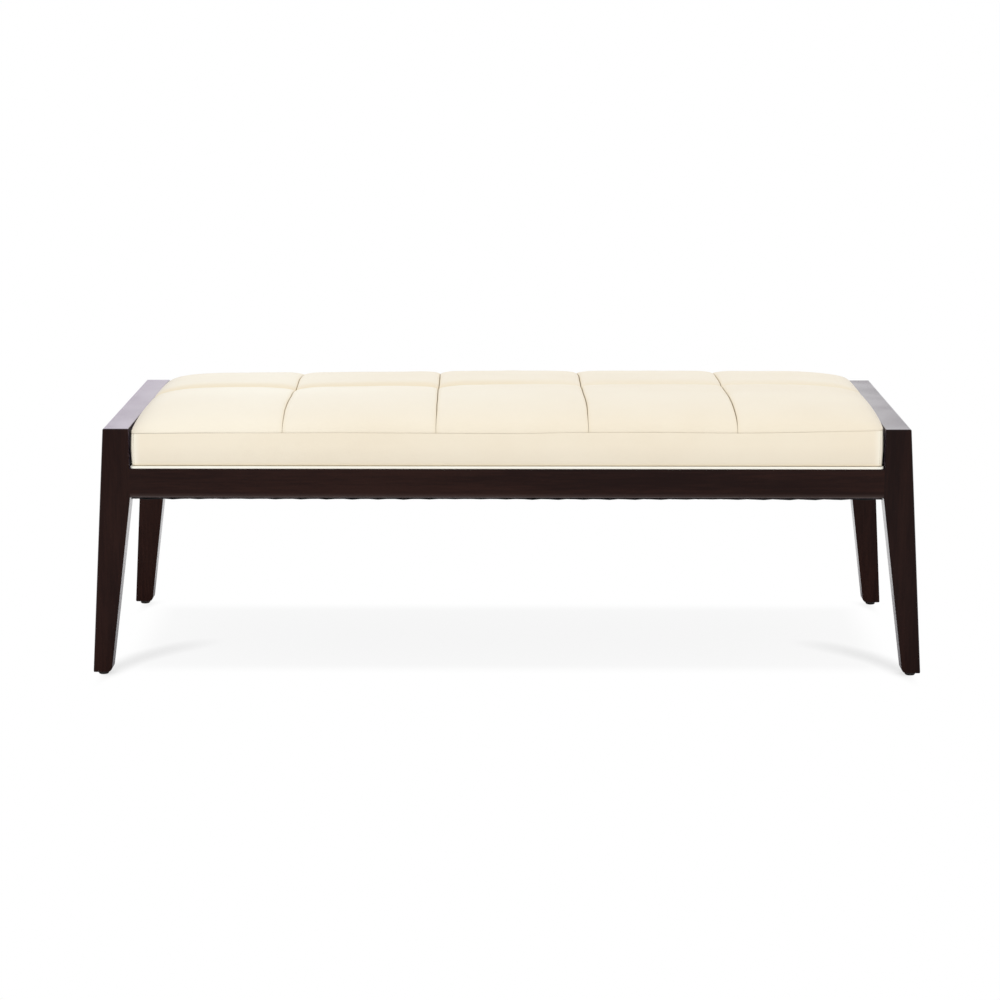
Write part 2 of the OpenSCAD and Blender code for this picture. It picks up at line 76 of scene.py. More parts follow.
# Studio: a pale floor that runs out of sight, a white surround, and soft lamps from
# front left, front right and overhead. The floor shows the bench's faint shading only inside
# painted shadow masks, which lie between its feet and are deepest in a streak close to each foot.
FLOOR_RADIUS = 45.0
FLOOR_STEPS = 96
FLOOR_COLOUR = (0.94, 0.94, 0.94, 1)
WHITE = (1, 1, 1, 1)
SHADOW_SHARE = 0.13
SHADOW_X, SHADOW_Y, SHADOW_FADES = 0.655, 0.195, 0.075
FOOT_SHARE = 0.40
FOOT_X, FOOT_Y = 0.737, 0.264
# Each foot's painted shadow streak runs to the back and bends inwards: how far back it reaches
# at most, how soon it bends, its half width, and how far inwards it has faded
FOOT_BACK, FOOT_BEND, FOOT_WIDTH, FOOT_INWARDS = 0.26, 0.10, 0.10, 0.26
SURROUND_LIGHT = 0.93
LAMPS = [
    # name, place, aimed at, width, depth, watts
    ("front_left_lamp", (-2.4, -3.2, 1.7), (0, 0, 0.3), 1.4, 1.4, 11),
    ("front_right_lamp", (2.4, -3.2, 1.7), (0, 0, 0.3), 1.4, 1.4, 11),
    ("overhead_lamp", (0, 0.3, 2.9), (0, 0, 0.4), 3.2, 1.6, 4),
]

scene.view_settings.view_transform = "Standard"


def join(made, inputs=None, **others):
    """Sets inputs of a node, each to a value or a socket that feeds it. In a keyword _ is a space."""
    named = {key.replace("_", " "): value for key, value in others.items()}
    for key, value in {**(inputs or {}), **named}.items():
        if isinstance(value, bpy.types.NodeSocket):
            made.id_data.links.new(value, made.inputs[key])
        else:
            made.inputs[key].default_value = value


def node(tree, kind, inputs=None, **settings):
    """Adds a node: a shader node by its short name, any other by its whole name."""
    made = tree.nodes.new(kind if "Node" in kind else "ShaderNode" + kind)
    for key, value in settings.items():
        setattr(made, key, value)
    join(made, inputs)
    return made


def out_of(tree, kind, inputs=None, **settings):
    """Adds a node and gives its first output."""
    return node(tree, kind, inputs, **settings).outputs[0]


def tree_of(*values):
    """The node tree of the first socket among the values."""
    return next(value.id_data for value in values if isinstance(value, bpy.types.NodeSocket))


def maths(operation, a, b=0.0, clamp=False):
    return out_of(tree_of(a, b), "Math", {0: a, 1: b}, operation=operation, use_clamp=clamp)


def product(first, *others):
    for other in others:
        first = maths("MULTIPLY", first, other)
    return first


def spread(value, low, high, to_low=0.0, to_high=1.0):
    """A value between low and high, spread smoothly over to_low to to_high."""
    return out_of(value.id_data, "MapRange", {
        "Value": value, "From Min": low, "From Max": high, "To Min": to_low, "To Max": to_high,
    }, interpolation_type="SMOOTHSTEP")


def apart(vector):
    return node(vector.id_data, "SeparateXYZ", {0: vector}).outputs


def new_material(name):
    """A node material: itself, its tree, its Principled shader and the Object coordinate."""
    made = bpy.data.materials.new(name)
    made.use_nodes = True
    tree = made.node_tree
    tree.nodes.clear()
    shader = node(tree, "BsdfPrincipled")
    node(tree, "OutputMaterial", {"Surface": shader.outputs[0]})
    return made, tree, shader, node(tree, "TexCoord").outputs["Object"]


def plain_mesh(name, points, faces, edges=(), smooth=True):
    """A mesh object at the origin, with its place in its mesh."""
    mesh = bpy.data.meshes.new(name)
    mesh.from_pydata(points, edges, faces)
    mesh.update()
    if smooth:
        mesh.shade_smooth()
    return added(name, mesh)


floor_angles = [2 * math.pi * i / FLOOR_STEPS for i in range(FLOOR_STEPS)]
floor_rim = [(FLOOR_RADIUS * math.cos(a), FLOOR_RADIUS * math.sin(a), 0) for a in floor_angles]
floor = plain_mesh("studio_floor", floor_rim, [list(range(FLOOR_STEPS))], smooth=False)

floor_paint, tree, shader, place = new_material("floor_paint")
floor_x, floor_y, _ = apart(place)
out_x, out_y = maths("ABSOLUTE", floor_x), maths("ABSOLUTE", floor_y)
# Painted shadow masks, a field between the feet and a streak behind each foot, inside which the floor's own
# shading shows
under_bench = product(
    spread(out_x, SHADOW_X, SHADOW_X + SHADOW_FADES, 1, 0),
    spread(out_y, SHADOW_Y, SHADOW_Y + SHADOW_FADES, 1, 0), SHADOW_SHARE)
inwards = maths("SUBTRACT", FOOT_X, out_x)
backwards = maths("SUBTRACT", floor_y, product(maths("SIGN", floor_y), FOOT_Y))
bend = maths("EXPONENT", maths("DIVIDE", inwards, -FOOT_BEND))
middle = product(FOOT_BACK, maths("SUBTRACT", 1, bend))
beside = maths("ABSOLUTE", maths("SUBTRACT", backwards, middle))
near_foot = product(
    spread(beside, 0, FOOT_WIDTH, 1, 0), spread(inwards, -0.012, 0.015),
    spread(inwards, 0.04, FOOT_INWARDS, FOOT_SHARE, 0.5 * SHADOW_SHARE),
    spread(floor_y, FOOT_Y - 0.04, FOOT_Y + 0.03, 1, 0))
shadow_share = maths("MAXIMUM", under_bench, near_foot)
tree.nodes.remove(shader)
ray = node(tree, "LightPath").outputs
seen = maths("MAXIMUM", ray["Is Camera Ray"], ray["Is Transmission Ray"])
join(tree.nodes["Material Output"], Surface=out_of(tree, "MixShader", {
    0: product(seen, maths("SUBTRACT", 1, shadow_share)),
    1: out_of(tree, "BsdfDiffuse", {"Color": FLOOR_COLOUR}),
    2: out_of(tree, "Emission", {"Color": WHITE, "Strength": 1})}))
floor.data.materials.append(floor_paint)

world = bpy.data.worlds.new("studio_surround")
world.use_nodes = True
scene.world = world
tree = world.node_tree
tree.nodes.clear()
ray = node(tree, "LightPath").outputs
mirrored = maths("MAXIMUM", ray["Is Glossy Ray"], ray["Is Transmission Ray"])
seen = maths("MAXIMUM", ray["Is Camera Ray"], mirrored)
brightness = spread(seen, 0, 1, SURROUND_LIGHT, 1)
node(tree, "OutputWorld", {"Surface": out_of(tree, "Background", {"Color": WHITE, "Strength": brightness})})

for name, lamp_place, aim, width, depth, watts in LAMPS:
    lamp_data = bpy.data.lights.new(name, "AREA")
    lamp_data.shape = "RECTANGLE"
    lamp_data.size = width
    lamp_data.size_y = depth
    lamp_data.energy = watts
    lamp = added(name, lamp_data)
    lamp.location = lamp_place
    across, ahead, up = [a - b for a, b in zip(aim, lamp_place)]
    lamp.rotation_euler = (math.atan2(math.hypot(across, ahead), -up), 0, math.atan2(-across, ahead))


# Legs, end rails and aprons: tapered hardwood members, mortised and tenoned together,
# stained a dark espresso and finished with a satin lacquer that mirrors the light at a slant.
STAIN_DARK = (0.0115, 0.0032, 0.0019, 1)
STAIN_LIGHT = (0.024, 0.008, 0.005, 1)
# The paler colour along the aprons' lower arrises is a painted reflection of the floor
EDGE_REFLECTION_PAINT = (0.062, 0.043, 0.037, 1)
EDGE_REFLECTION_HEIGHTS, EDGE_REFLECTION_MOST = (0.331, 0.341), 0.7
LACQUER_ROUGHNESS, SMEAR, SMEARED_GLOSS = 0.30, 0.012, (1.08, 0.9)
FACING_GLOSS, SIDE_SHEEN = 0.03, 0.06
MIRRORING_SLANT = (0.15, 0.6)
FACING_TOP = (0.2, 0.8)
# The violet sheen on the tops is a painted reflection
PAINTED_SHEEN_TINT = (0.85, 0.66, 1.0, 1)
# For each batch of wood: its pieces, the order in which X, Y and Z are read so that the grain
# runs along the first, how much light the stain lets through, how glossy the lacquer is, how
# much violet sheen its top has, and how much of the gloss its sides have. The batches are lit
# and shaded copies of one wood, with stain, gloss and sheen raised where the pieces look
# brighter, most on the left: painted light and painted reflection
SHOW_WOOD = {
    "front_left": (["leg_front_left"], "ZXY", 0.82, 1.0, 0.40, 0.88),
    "front_right": (["leg_front_right"], "ZXY", 0.68, 0.84, 0.12, 1.1),
    "back_left": (["leg_back_left"], "ZXY", 1.2, 0.93, 0.40, 1.1),
    "back_right": (["leg_back_right"], "ZXY", 1.04, 0.75, 0.12, 1.35),
    "left_rail": (["end_rail_left"], "YXZ", 0.95, 1.0, 0.40, 0.05),
    "right_rail": (["end_rail_right"], "YXZ", 0.80, 0.84, 0.12, 0.05),
    "aprons": (["apron_front", "apron_back"], "XYZ", 0.88, 1.0, 0.06, 1.0),
}
# Sitters polish the frame's top towards the seat, and shoes and mops dull the feet: between
# which places, and how much of its gloss the lacquer has at each
POLISHED_ACROSS = (0.677, 0.7235, 1.06, 0.84)
DULLED_FEET = (0, 0.12, 0.1, 1)


def mixed(share, first, second):
    tree = tree_of(share, first, second)
    return node(tree, "Mix", {0: share, 6: first, 7: second}, data_type="RGBA").outputs[2]


def noise(place, scale, detail, **others):
    return out_of(place.id_data, "TexNoise", {"Vector": place, "Scale": scale, "Detail": detail, **others})


def bumped(height, distance=1.0):
    return out_of(height.id_data, "Bump", {"Height": height, "Distance": distance})


def facing_up(tree):
    return apart(node(tree, "NewGeometry").outputs["Normal"])["Z"]


def turned(place, axes):
    """The coordinate with its axes read in another order."""
    parts = apart(place)
    return out_of(place.id_data, "CombineXYZ", {i: parts[a] for i, a in enumerate(axes)})


def new_group(name, inputs, outputs, kind="Shader"):
    """A node group: its tree, the sockets given to it and its output node."""
    tree = bpy.data.node_groups.new(name, kind + "NodeTree")
    for key, (socket_kind, *value) in inputs.items():
        socket = tree.interface.new_socket(key, in_out="INPUT", socket_type="NodeSocket" + socket_kind)
        if value:
            socket.default_value = value[0]
    for key, socket_kind in outputs.items():
        tree.interface.new_socket(key, in_out="OUTPUT", socket_type="NodeSocket" + socket_kind)
    return tree, node(tree, "NodeGroupInput").outputs, node(tree, "NodeGroupOutput")


def placed(group, place, **inputs):
    """Places a node group in a material and gives its outputs."""
    made = node(place.id_data, "Group", {"Vector": place}, node_tree=group)
    join(made, **inputs)
    return made.outputs


# Wood figure: long soft bands, finer streaks and open pores, all drawn out along X
wood_figure, given, wanted = new_group("wood_figure", {
    "Vector": ("Vector",), "Dark": ("Color", STAIN_DARK), "Light": ("Color", STAIN_LIGHT),
    "Band Scale": ("Float", 24.0), "Pore Depth": ("Float", 0.05 * MM),
}, {"Color": "Color", "Height": "Float"})
tree = wood_figure
along = out_of(tree, "VectorMath", {0: given["Vector"], 1: (0.07, 1, 1)}, operation="MULTIPLY")
bands = noise(along, given["Band Scale"], 3.0, Distortion=0.6)
streaks = noise(along, 260.0, 4.0, Roughness=0.65)
pores = spread(noise(along, 1100.0, 1.0), 0.60, 0.72)
figure = maths("ADD", product(bands, 0.6), product(streaks, 0.4))
tone = maths("SUBTRACT", spread(figure, 0.36, 0.64), product(pores, 0.5), clamp=True)
join(wanted, Color=mixed(tone, given["Dark"], given["Light"]),
     Height=product(pores, given["Pore Depth"], -1))

# Handling: faint smears and polish that vary a finish's roughness over a hand's breadth
handling, given, wanted = new_group("handling", {
    "Vector": ("Vector",), "Roughness": ("Float", 0.4), "Spread": ("Float", 0.08),
}, {"Roughness": "Float"})
smears = maths("SUBTRACT", noise(given["Vector"], 14.0, 4.0), 0.5)
offset = product(smears, given["Spread"])
join(wanted, Roughness=maths("ADD", given["Roughness"], offset))


def handled(place, roughness, amount):
    return placed(handling, place, Roughness=roughness, Spread=amount)["Roughness"]


def stained_wood(name, axes, strength, gloss, painted_sheen, side_share):
    made, tree, shader, place = new_material(name)
    dark, light = [(*[strength * c for c in stain[:3]], 1) for stain in (STAIN_DARK, STAIN_LIGHT)]
    wood = placed(wood_figure, turned(place, axes), Dark=dark, Light=light)
    polish = handled(place, LACQUER_ROUGHNESS, 0.08)
    along, _, height = apart(place)
    # A paler band is painted along the lower arrises of the aprons, a painted reflection of the floor in
    # their rounded edges
    painted_edge_reflection = spread(height, *EDGE_REFLECTION_HEIGHTS, EDGE_REFLECTION_MOST, 0) if axes == "XYZ" else 0.0
    # The lacquer mirrors strongly only at a slant, and is polished and handled most on top,
    # less where it is smeared
    slant = node(tree, "LayerWeight", {"Blend": 0.5}).outputs["Facing"]
    up = facing_up(tree)
    coat = product(
        spread(slant, *MIRRORING_SLANT, FACING_GLOSS, gloss), spread(up, *FACING_TOP, side_share, 1),
        spread(polish, LACQUER_ROUGHNESS - SMEAR, LACQUER_ROUGHNESS + SMEAR, *SMEARED_GLOSS),
        spread(maths("ABSOLUTE", along), *POLISHED_ACROSS),
        spread(height, *DULLED_FEET))
    # The violet sheen on the top is a painted reflection
    join(shader, Base_Color=mixed(painted_edge_reflection, wood["Color"], EDGE_REFLECTION_PAINT),
         Roughness=polish, Specular_IOR_Level=0.06, Coat_Weight=coat, Coat_Roughness=0.12, Coat_IOR=1.64,
         Sheen_Weight=spread(up, *FACING_TOP, min(painted_sheen, SIDE_SHEEN), painted_sheen), Sheen_Tint=PAINTED_SHEEN_TINT,
         Normal=bumped(wood["Height"]))
    return made


def paint_nodes(material, names):
    for name in names:
        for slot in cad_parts[name].material_slots:
            slot.material = material


for batch, (names, *finish) in SHOW_WOOD.items():
    paint_nodes(stained_wood("espresso_" + batch, *finish), names)


# Seat supports: planed beech cross rails housed in the aprons, and cleats and corner
# blocks glued and screwed inside the frame. They are left unfinished, out of sight.
SUPPORTS = {
    "cross": (["cross_rail_left", "cross_rail_right", "end_cleat_left", "end_cleat_right"], "YXZ"),
    "block": (["block_front_left", "block_front_right", "block_back_left", "block_back_right"], "XYZ"),
}
BEECH_DARK = (0.42, 0.27, 0.14, 1)
BEECH_LIGHT = (0.60, 0.43, 0.26, 1)

for kind, (names, axes) in SUPPORTS.items():
    beech, _, shader, place = new_material("beech_" + kind)
    wood = placed(wood_figure, turned(place, axes), Dark=BEECH_DARK, Light=BEECH_LIGHT,
                  Band_Scale=38.0, Pore_Depth=0.08 * MM)
    join(shader, Base_Color=wood["Color"], Roughness=handled(place, 0.62, 0.12),
         Normal=bumped(wood["Height"]))
    paint_nodes(beech, names)


# Screws: zinc plated countersunk wood screws. Some fix the cleats and blocks to the frame,
# and longer ones come up through them into the seat board.
ZINC = (0.58, 0.58, 0.56, 1)
ZINC_STAIN = (0.42, 0.41, 0.36, 1)

zinc_plate, _, shader, place = new_material("zinc_plate")
join(shader, Base_Color=mixed(noise(place, 420.0, 3.0), ZINC, ZINC_STAIN),
     Metallic=1.0, Roughness=handled(place, 0.34, 0.15))
paint_nodes(zinc_plate, ["frame_screws", "seat_screws"])


# Glides: moulded nylon discs with a steel nail, driven up into the end of each leg.
# Their rims are painted paler near the floor, for scuffs and for a painted highlight.
NYLON = (0.020, 0.015, 0.012, 1)
NYLON_SCUFFED_AND_LIT = (0.075, 0.066, 0.058, 1)
SCUFF_AND_HIGHLIGHT_HEIGHT = 2.2 * MM

glide_nylon, _, shader, place = new_material("glide_nylon")
scratches = noise(place, 900.0, 4.0)
# Paler rim near the floor: scuffs and a painted highlight
scuffed_and_lit = product(spread(apart(place)["Z"], 0, SCUFF_AND_HIGHLIGHT_HEIGHT, 1, 0), spread(scratches, 0.4, 0.6))
join(shader, Base_Color=mixed(scuffed_and_lit, NYLON, NYLON_SCUFFED_AND_LIT),
     Roughness=spread(scuffed_and_lit, 0, 1, 0.38, 0.7), Specular_IOR_Level=0.25,
     Normal=bumped(scratches, 0.06 * MM))
paint_nodes(glide_nylon, [f"glide_{end}_{side}" for end in ("front", "back") for side in ("left", "right")])


# Seat board: birch plywood that the cushion is built on. Its edges show the thin plies
# in turn light and dark, and it is screwed down from below.
BIRCH = (0.66, 0.50, 0.31, 1)
BIRCH_DARK = (0.47, 0.32, 0.18, 1)
PLY = 1.4 * MM
BOARD_FOOT = 384 * MM

birch_ply, tree, shader, place = new_material("birch_plywood")
wood = placed(wood_figure, place, Dark=BIRCH_DARK, Light=BIRCH, Band_Scale=9.0)
level = maths("DIVIDE", maths("SUBTRACT", apart(place)["Z"], BOARD_FOOT), PLY * 2)
cross_ply = maths("GREATER_THAN", maths("FRACT", level), 0.5)
on_edge = maths("LESS_THAN", maths("ABSOLUTE", facing_up(tree)), 0.5)
dark_ply = product(cross_ply, on_edge, 0.6)
join(shader, Base_Color=mixed(dark_ply, wood["Color"], BIRCH_DARK), Roughness=0.6)
paint_nodes(birch_ply, ["seat_board"])


# Foam: a moulded slab of upholstery foam glued to the board, square at its sides and
# crowned on top, so that the leather is filled out from below.
SEAM_Z = 451.0
BOARD_TOP = 396.0
PANEL_X, PANEL_Y = 673.0, 275.5
CORE_X, CORE_Y = 669.7, 272.2
FOAM_CROWN, FOAM_CLEARANCE = 17.5, 0.3
END_ROLL, END_SOFTNESS = 130.0, 0.25
SIDE_ROLL, SIDE_SOFTNESS = 170.0, 0.45
# The top seam of the boxing is not level: how far it lies above its even height along the seat
WAVE_PLACES = [-673, -640, -560, -430, -300, -140, 20, 110, 270, 420, 520, 600, 673]
WAVE_HEIGHTS = [-3.7, -3.3, -2.2, -2.0, -1.4, -2.3, -2.9, -0.8, -0.3, -1.6, -0.1, 1.6, 3.2]
WAVE_FADES = 25.0
FOAM_COLOUR = (0.78, 0.73, 0.44, 1)
FOAM_DEEP = (0.62, 0.55, 0.30, 1)


def rise(distance, roll, power):
    """How much of the crown is reached at a distance from the edge, from 0 to 1."""
    reach = np.clip(distance / roll, 0, 1)
    return (1 - (1 - reach) ** 2) ** power


def crown(x, y, inset=0.0):
    return (rise(PANEL_X - inset - np.abs(x), END_ROLL, END_SOFTNESS)
            * rise(PANEL_Y - inset - np.abs(y), SIDE_ROLL, SIDE_SOFTNESS))


def seam_height(x, y):
    """Height of the boxing's top seam, which fades to even further in on the seat."""
    inwards = np.minimum(PANEL_X - np.abs(x), PANEL_Y - np.abs(y)).clip(0)
    return SEAM_Z + np.interp(x, WAVE_PLACES, WAVE_HEIGHTS) * np.exp(-inwards / WAVE_FADES)


def foam_top(x, y):
    """The crown of the foam, which is also the underside of the leather panels."""
    return seam_height(x, y) + FOAM_CROWN * crown(x, y, PANEL_X - CORE_X)


def eased_lines(half, count):
    """Grid lines from -half to half, closer together towards both ends."""
    t = np.linspace(0, 1, count)
    return -half + 2 * half * np.where(t < 0.5, (2 * t) ** 2 / 2, 1 - (2 - 2 * t) ** 2 / 2)


def crossed(along_x, along_y):
    return np.meshgrid(along_x, along_y, indexing="ij")


def closed_grid(name, top, bottom, **marks):
    """A closed solid between two grids of points. Each mark is kept as its top's attribute."""
    n, m = top.shape[:2]
    number = np.arange(n * m).reshape(n, m)
    quads = np.stack([number[:-1, :-1], number[1:, :-1], number[1:, 1:], number[:-1, 1:]], -1).reshape(-1, 4)
    rim = np.concatenate([number[:, 0], number[-1, 1:], number[-2::-1, -1], number[0, -2:0:-1]])
    after = np.roll(rim, -1)
    walls = np.stack([rim + n * m, after + n * m, after, rim], -1)
    faces = np.concatenate([quads, quads[:, ::-1] + n * m, walls])
    points = np.concatenate([top.reshape(-1, 3), bottom.reshape(-1, 3)]) * MM
    made = plain_mesh(name, points.tolist(), faces.tolist())
    for key, mark in marks.items():
        values = np.concatenate([np.broadcast_to(mark, (n, m)).reshape(-1), np.zeros(n * m)])
        made.data.attributes.new(key, "FLOAT", "POINT").data.foreach_set("value", values.astype(np.float32))
    return made


def finish_piece(piece, material, slot_name, *replaced):
    """Gives a piece its material and its body, and hides the CAD parts that it stands for. Its slot_name is
    not used.
    """
    piece.data.materials.clear()
    piece.data.materials.append(material)
    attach(piece, "root")
    if replaced:
        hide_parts(*replaced)


x, y = crossed(eased_lines(CORE_X, 141), eased_lines(CORE_Y, 81))
foam = closed_grid("cushion_foam", np.stack([x, y, foam_top(x, y) - FOAM_CLEARANCE], -1),
                   np.stack([x, y, np.full_like(x, BOARD_TOP)], -1))

foam_material, tree, shader, place = new_material("upholstery_foam")
cells = node(tree, "TexVoronoi", {"Vector": place, "Scale": 900.0})
open_cells = spread(cells.outputs["Distance"], 0.1, 0.7)
join(shader, Base_Color=mixed(open_cells, FOAM_COLOUR, FOAM_DEEP),
     Roughness=0.95, Normal=bumped(open_cells, 0.4 * MM))
finish_piece(foam, foam_material, "foam", "seat_foam")


# Seat top: ten panels of ivory leather, five along the front and five shallower ones behind,
# each backed with wadding. They are sewn edge to edge and pulled down by their seams.
SEAM_X = [-400.5, -128.5, 143.5, 415.5]
LONG_SEAM_Y = 20.0
# The long seam's course: how far it lies behind its even place along the seat
COURSE_PLACES = [-673, -610, -500, -300, 0, 300, 540, 620, 673]
COURSE_DEPTHS = [-20, -10, -6, -12, 0, 3, 2, -8, -20]
# The sewn lines lean a little: how far each lies from its even place at the front and at the back
SEAM_LEAN = [(-2.0, -1.0), (2.0, -4.5), (3.5, -8.5), (-2.0, -13.0)]
# Height of the crown along the seat, which is fullest in the middle and slack at its left end
CROWN_PLACES = [-673, -538, -264.5, 7.5, 279.5, 545, 673]
CROWN_HEIGHTS = [37.8, 38.2, 41.2, 43.9, 43.4, 43.2, 43]
PANEL_EDGE = 2.0
# How deep the cross seams and the long seam draw the leather down, how far from them and how
# roundly, and by how much more each crossing is drawn down
SEAM_DIP, CREASE_DIP = 9.0, 10.5
DIP_ROLL, DIP_POWER = 47.0, 2.4
CROSSING_DIPS = [4.5, 2.5, 1.5, 0.5]
CROSSING_REACH = 42.0
SEAM_GAP = 0.25
FOLD_RADIUS = 1.4
# How open each cross seam stands along its length, which also sets how much painted shade lies
# in its gap: it is pressed closed at the boxing's seam
OPEN_PLACES = [-274.5, -261.5, -245, -205, -145, 10, 60, 275]
SEAM_OPENINGS = [
    [0.05, 0.25, 0.3, 0.45, 0.7, 0.8, 0.42, 0.75],
    [0.05, 0.12, 0.28, 0.72, 0.72, 0.9, 0.65, 0.7],
    [0, 0.1, 0.34, 0.72, 1, 1.1, 1, 1],
    [0.05, 0.7, 1, 1.1, 1.05, 0.9, 0.65, 0.45],
]
# Soft unevenness of the filling: height, wavelength and seed. Puckers that run out from the
# cross seams and from the long seam: height, wavelength, seed and reach
UNEVEN = [(0.45, 170, 3), (0.20, 60, 4)]
PUCKERS = [(0.42, 19, 5, 11), (0.35, 23, 6, 10)]
CORNER_X, CORNER_Y, CORNER_ROUND = 668.5, 271.0, 4.5
TUCK, TUCK_STEP = 0.8, 0.04
# The groove over the boxing: its width, and how far the leather lies above and below it
GROOVE_WIDTH, GROOVE_RISE, GROOVE_DROP = TUCK + 0.1, 0.1, 0.15
# Shares of the panel's thickness at a sewn edge: the deepest that it folds, how far its
# last line sinks, and how high the leather turned under lies
FOLD_DEEPEST, FOLD_SINK, UNDER_HEIGHT = 0.55, 0.18, 0.12
THINNEST, THINNEST_EDGE = 0.3, 0.1
# Distances of the first grid lines from a panel's sewn edge; the first is the leather turned under
SEAM_LINES = [0.3, 0, 0.06, 0.2, 0.45, 0.8, 1.3, 2, 3, 4.5, 6.8, 9.5, 13, 17, 21.5]
RIM_LINES = [TUCK, 0.15, 0, 0.02, 0.07, 0.16, 0.32, 0.6, 1, 1.6, 2.4, 3.5, 5, 7, 9.7, 13.2, 17.5]
PANEL_STEP = 4.6
LEATHER = (0.885, 0.80, 0.645, 1)
LEATHER_DEEP = (0.86, 0.765, 0.605, 1)
LEATHER_HIGHLIGHT = (0.972, 0.926, 0.801, 1)
LEATHER_PAINTED_SHADE = (0.845, 0.725, 0.52, 1)
LEATHER_DARKENING = (0.74, 0.665, 0.545, 1)
SEAM_SHADE = (0.44, 0.35, 0.20, 1)
LEATHER_ROUGHNESS = 0.42
# How much painted highlight the leather has along the seat, most towards the left end: on the
# front panels' tops and fronts, on the back panels, and how much more on the crest in front of
# the long seam, which lies so far from it
HIGHLIGHT_PLACES = [-673, -450, -240, 0, 280, 673]
HIGHLIGHT_TOPS = [0.5, 0.62, 0.53, 0.38, 0.25, 0.19]
HIGHLIGHT_FRONTS = [0.44, 0.38, 0.12, 0.03, 0, 0]
HIGHLIGHT_BACKS = [0.5, 0.62, 0.25, 0.25, 0.19, 0.25]
HIGHLIGHT_CRESTS = [0.15, 0.38, 0.15, 0, 0, 0]
HIGHLIGHT_CREST_REACH = 62.0
# How much warm painted shade lies in the valley along the long seam, and how far up its slopes
# it reaches in front and behind
SHADE_PLACES = [-673, 0, 120, 300, 450, 560, 673]
SHADES = [0.75, 0.75, 0.2, 0.35, 0.2, 0.45, 0.45]
SHADE_REACH = (9, 26)
# Share and reach of the painted shade beside a seam and in the groove; reach of a seam's dark
# line, part thread colour and part painted shade
HOLLOW_SHADE, HOLLOW_REACH = 0.35, 4.5
GROOVE_SHADE, GROOVE_REACH, THREAD_REACH = 0.04, 0.3, 0.5
# Painted shade and painted reflection of the dark rails at the left and the right end: how much,
# how far it reaches, its share at the front edge, and how deep that edge is
RAIL_SHADE, RAIL_SHADE_REACH = (2.2, 1.7), (14.0, 10.0)
RAIL_SHADE_FRONT, FRONT_DEPTH = 0.45, 70


def wander(t, wavelength, seed):
    """A smooth, repeatable wander between about -1 and 1 along t."""
    draw = np.random.default_rng(seed)
    total = 0
    for share, stretch in ((0.55, 1.0), (0.3, 0.53), (0.15, 0.29)):
        total = total + share * np.sin(2 * np.pi * t / (wavelength * stretch) + draw.uniform(0, 2 * np.pi))
    return total


def ripple(x, y, wavelength, seed):
    """A smooth, repeatable unevenness over the seat, between about -1 and 1."""
    draw = np.random.default_rng(seed)
    total = 0
    for turn in range(5):
        angle = draw.uniform(0, np.pi)
        across = x * math.cos(angle) + y * math.sin(angle)
        stretch = wavelength * draw.uniform(0.6, 1.5)
        total = total + np.sin(2 * np.pi * across / stretch + draw.uniform(0, 2 * np.pi)) / 5
    return total * 1.6


def near(distance, reach, power=2):
    """1 at no distance, which fades away beyond the reach."""
    return np.exp(-(distance / reach) ** power)


def rounded_corner(x, y):
    """Draws the outline's square corner onto its rounded one."""
    a = (np.abs(x) - CORNER_X).clip(0) / CORNER_ROUND
    b = (np.abs(y) - CORNER_Y).clip(0) / CORNER_ROUND
    new_x = np.sign(x) * (CORNER_X + CORNER_ROUND * a * np.sqrt(1 - b * b / 2))
    new_y = np.sign(y) * (CORNER_Y + CORNER_ROUND * b * np.sqrt(1 - a * a / 2))
    inside = (a > 0) & (b > 0)
    return np.where(inside, new_x, x), np.where(inside, new_y, y)


def valley(distance):
    """How much of its dip the leather has, from 1 at a seam to 0."""
    close = 1 - np.clip(distance / DIP_ROLL, 0, 1)
    return 1 - (1 - close ** DIP_POWER) ** (1 / DIP_POWER)


def leather_top(x, y):
    """Height of the leather's face, before its edges are folded."""
    to_seam = np.min([np.abs(x - line) for line in SEAM_X], axis=0)
    to_crease = np.abs(y - LONG_SEAM_Y)
    height = np.interp(x, CROWN_PLACES, CROWN_HEIGHTS) - PANEL_EDGE
    height = height - np.hypot(SEAM_DIP * valley(to_seam), CREASE_DIP * valley(to_crease))
    for line, dip in zip(SEAM_X, CROSSING_DIPS):
        height = height - dip * near(np.hypot(x - line, to_crease), CROSSING_REACH)
    uneven = sum(high * ripple(x, y, wavelength, seed) for high, wavelength, seed in UNEVEN)
    pucker = sum(high * wander(along, wavelength, seed) * np.exp(-distance / reach) for (
        along, distance, (high, wavelength, seed, reach)) in zip((y, x), (to_seam, to_crease), PUCKERS))
    return seam_height(x, y) + PANEL_EDGE + crown(x, y) * (height + uneven + pucker)


def fold(edge):
    """Drop of the leather where it rolls over into a sewn seam."""
    over = np.clip(FOLD_RADIUS - edge, 0, FOLD_RADIUS)
    return FOLD_RADIUS - np.sqrt(FOLD_RADIUS ** 2 - over ** 2)


def seam_shift(number, y):
    """How far a sewn line lies to the right of its even place: its lean and its wander."""
    return np.interp(y, (-PANEL_Y, PANEL_Y), SEAM_LEAN[number]) + 0.8 * wander(y, 290, 12 + number)


def course(x, y):
    """How far a place lies behind its even one: it follows the long seam and fades to the edges."""
    room = np.where(y < LONG_SEAM_Y, LONG_SEAM_Y + PANEL_Y, PANEL_Y - LONG_SEAM_Y)
    return np.interp(x, COURSE_PLACES, COURSE_DEPTHS) * (1 - np.abs(y - LONG_SEAM_Y) / room).clip(0)


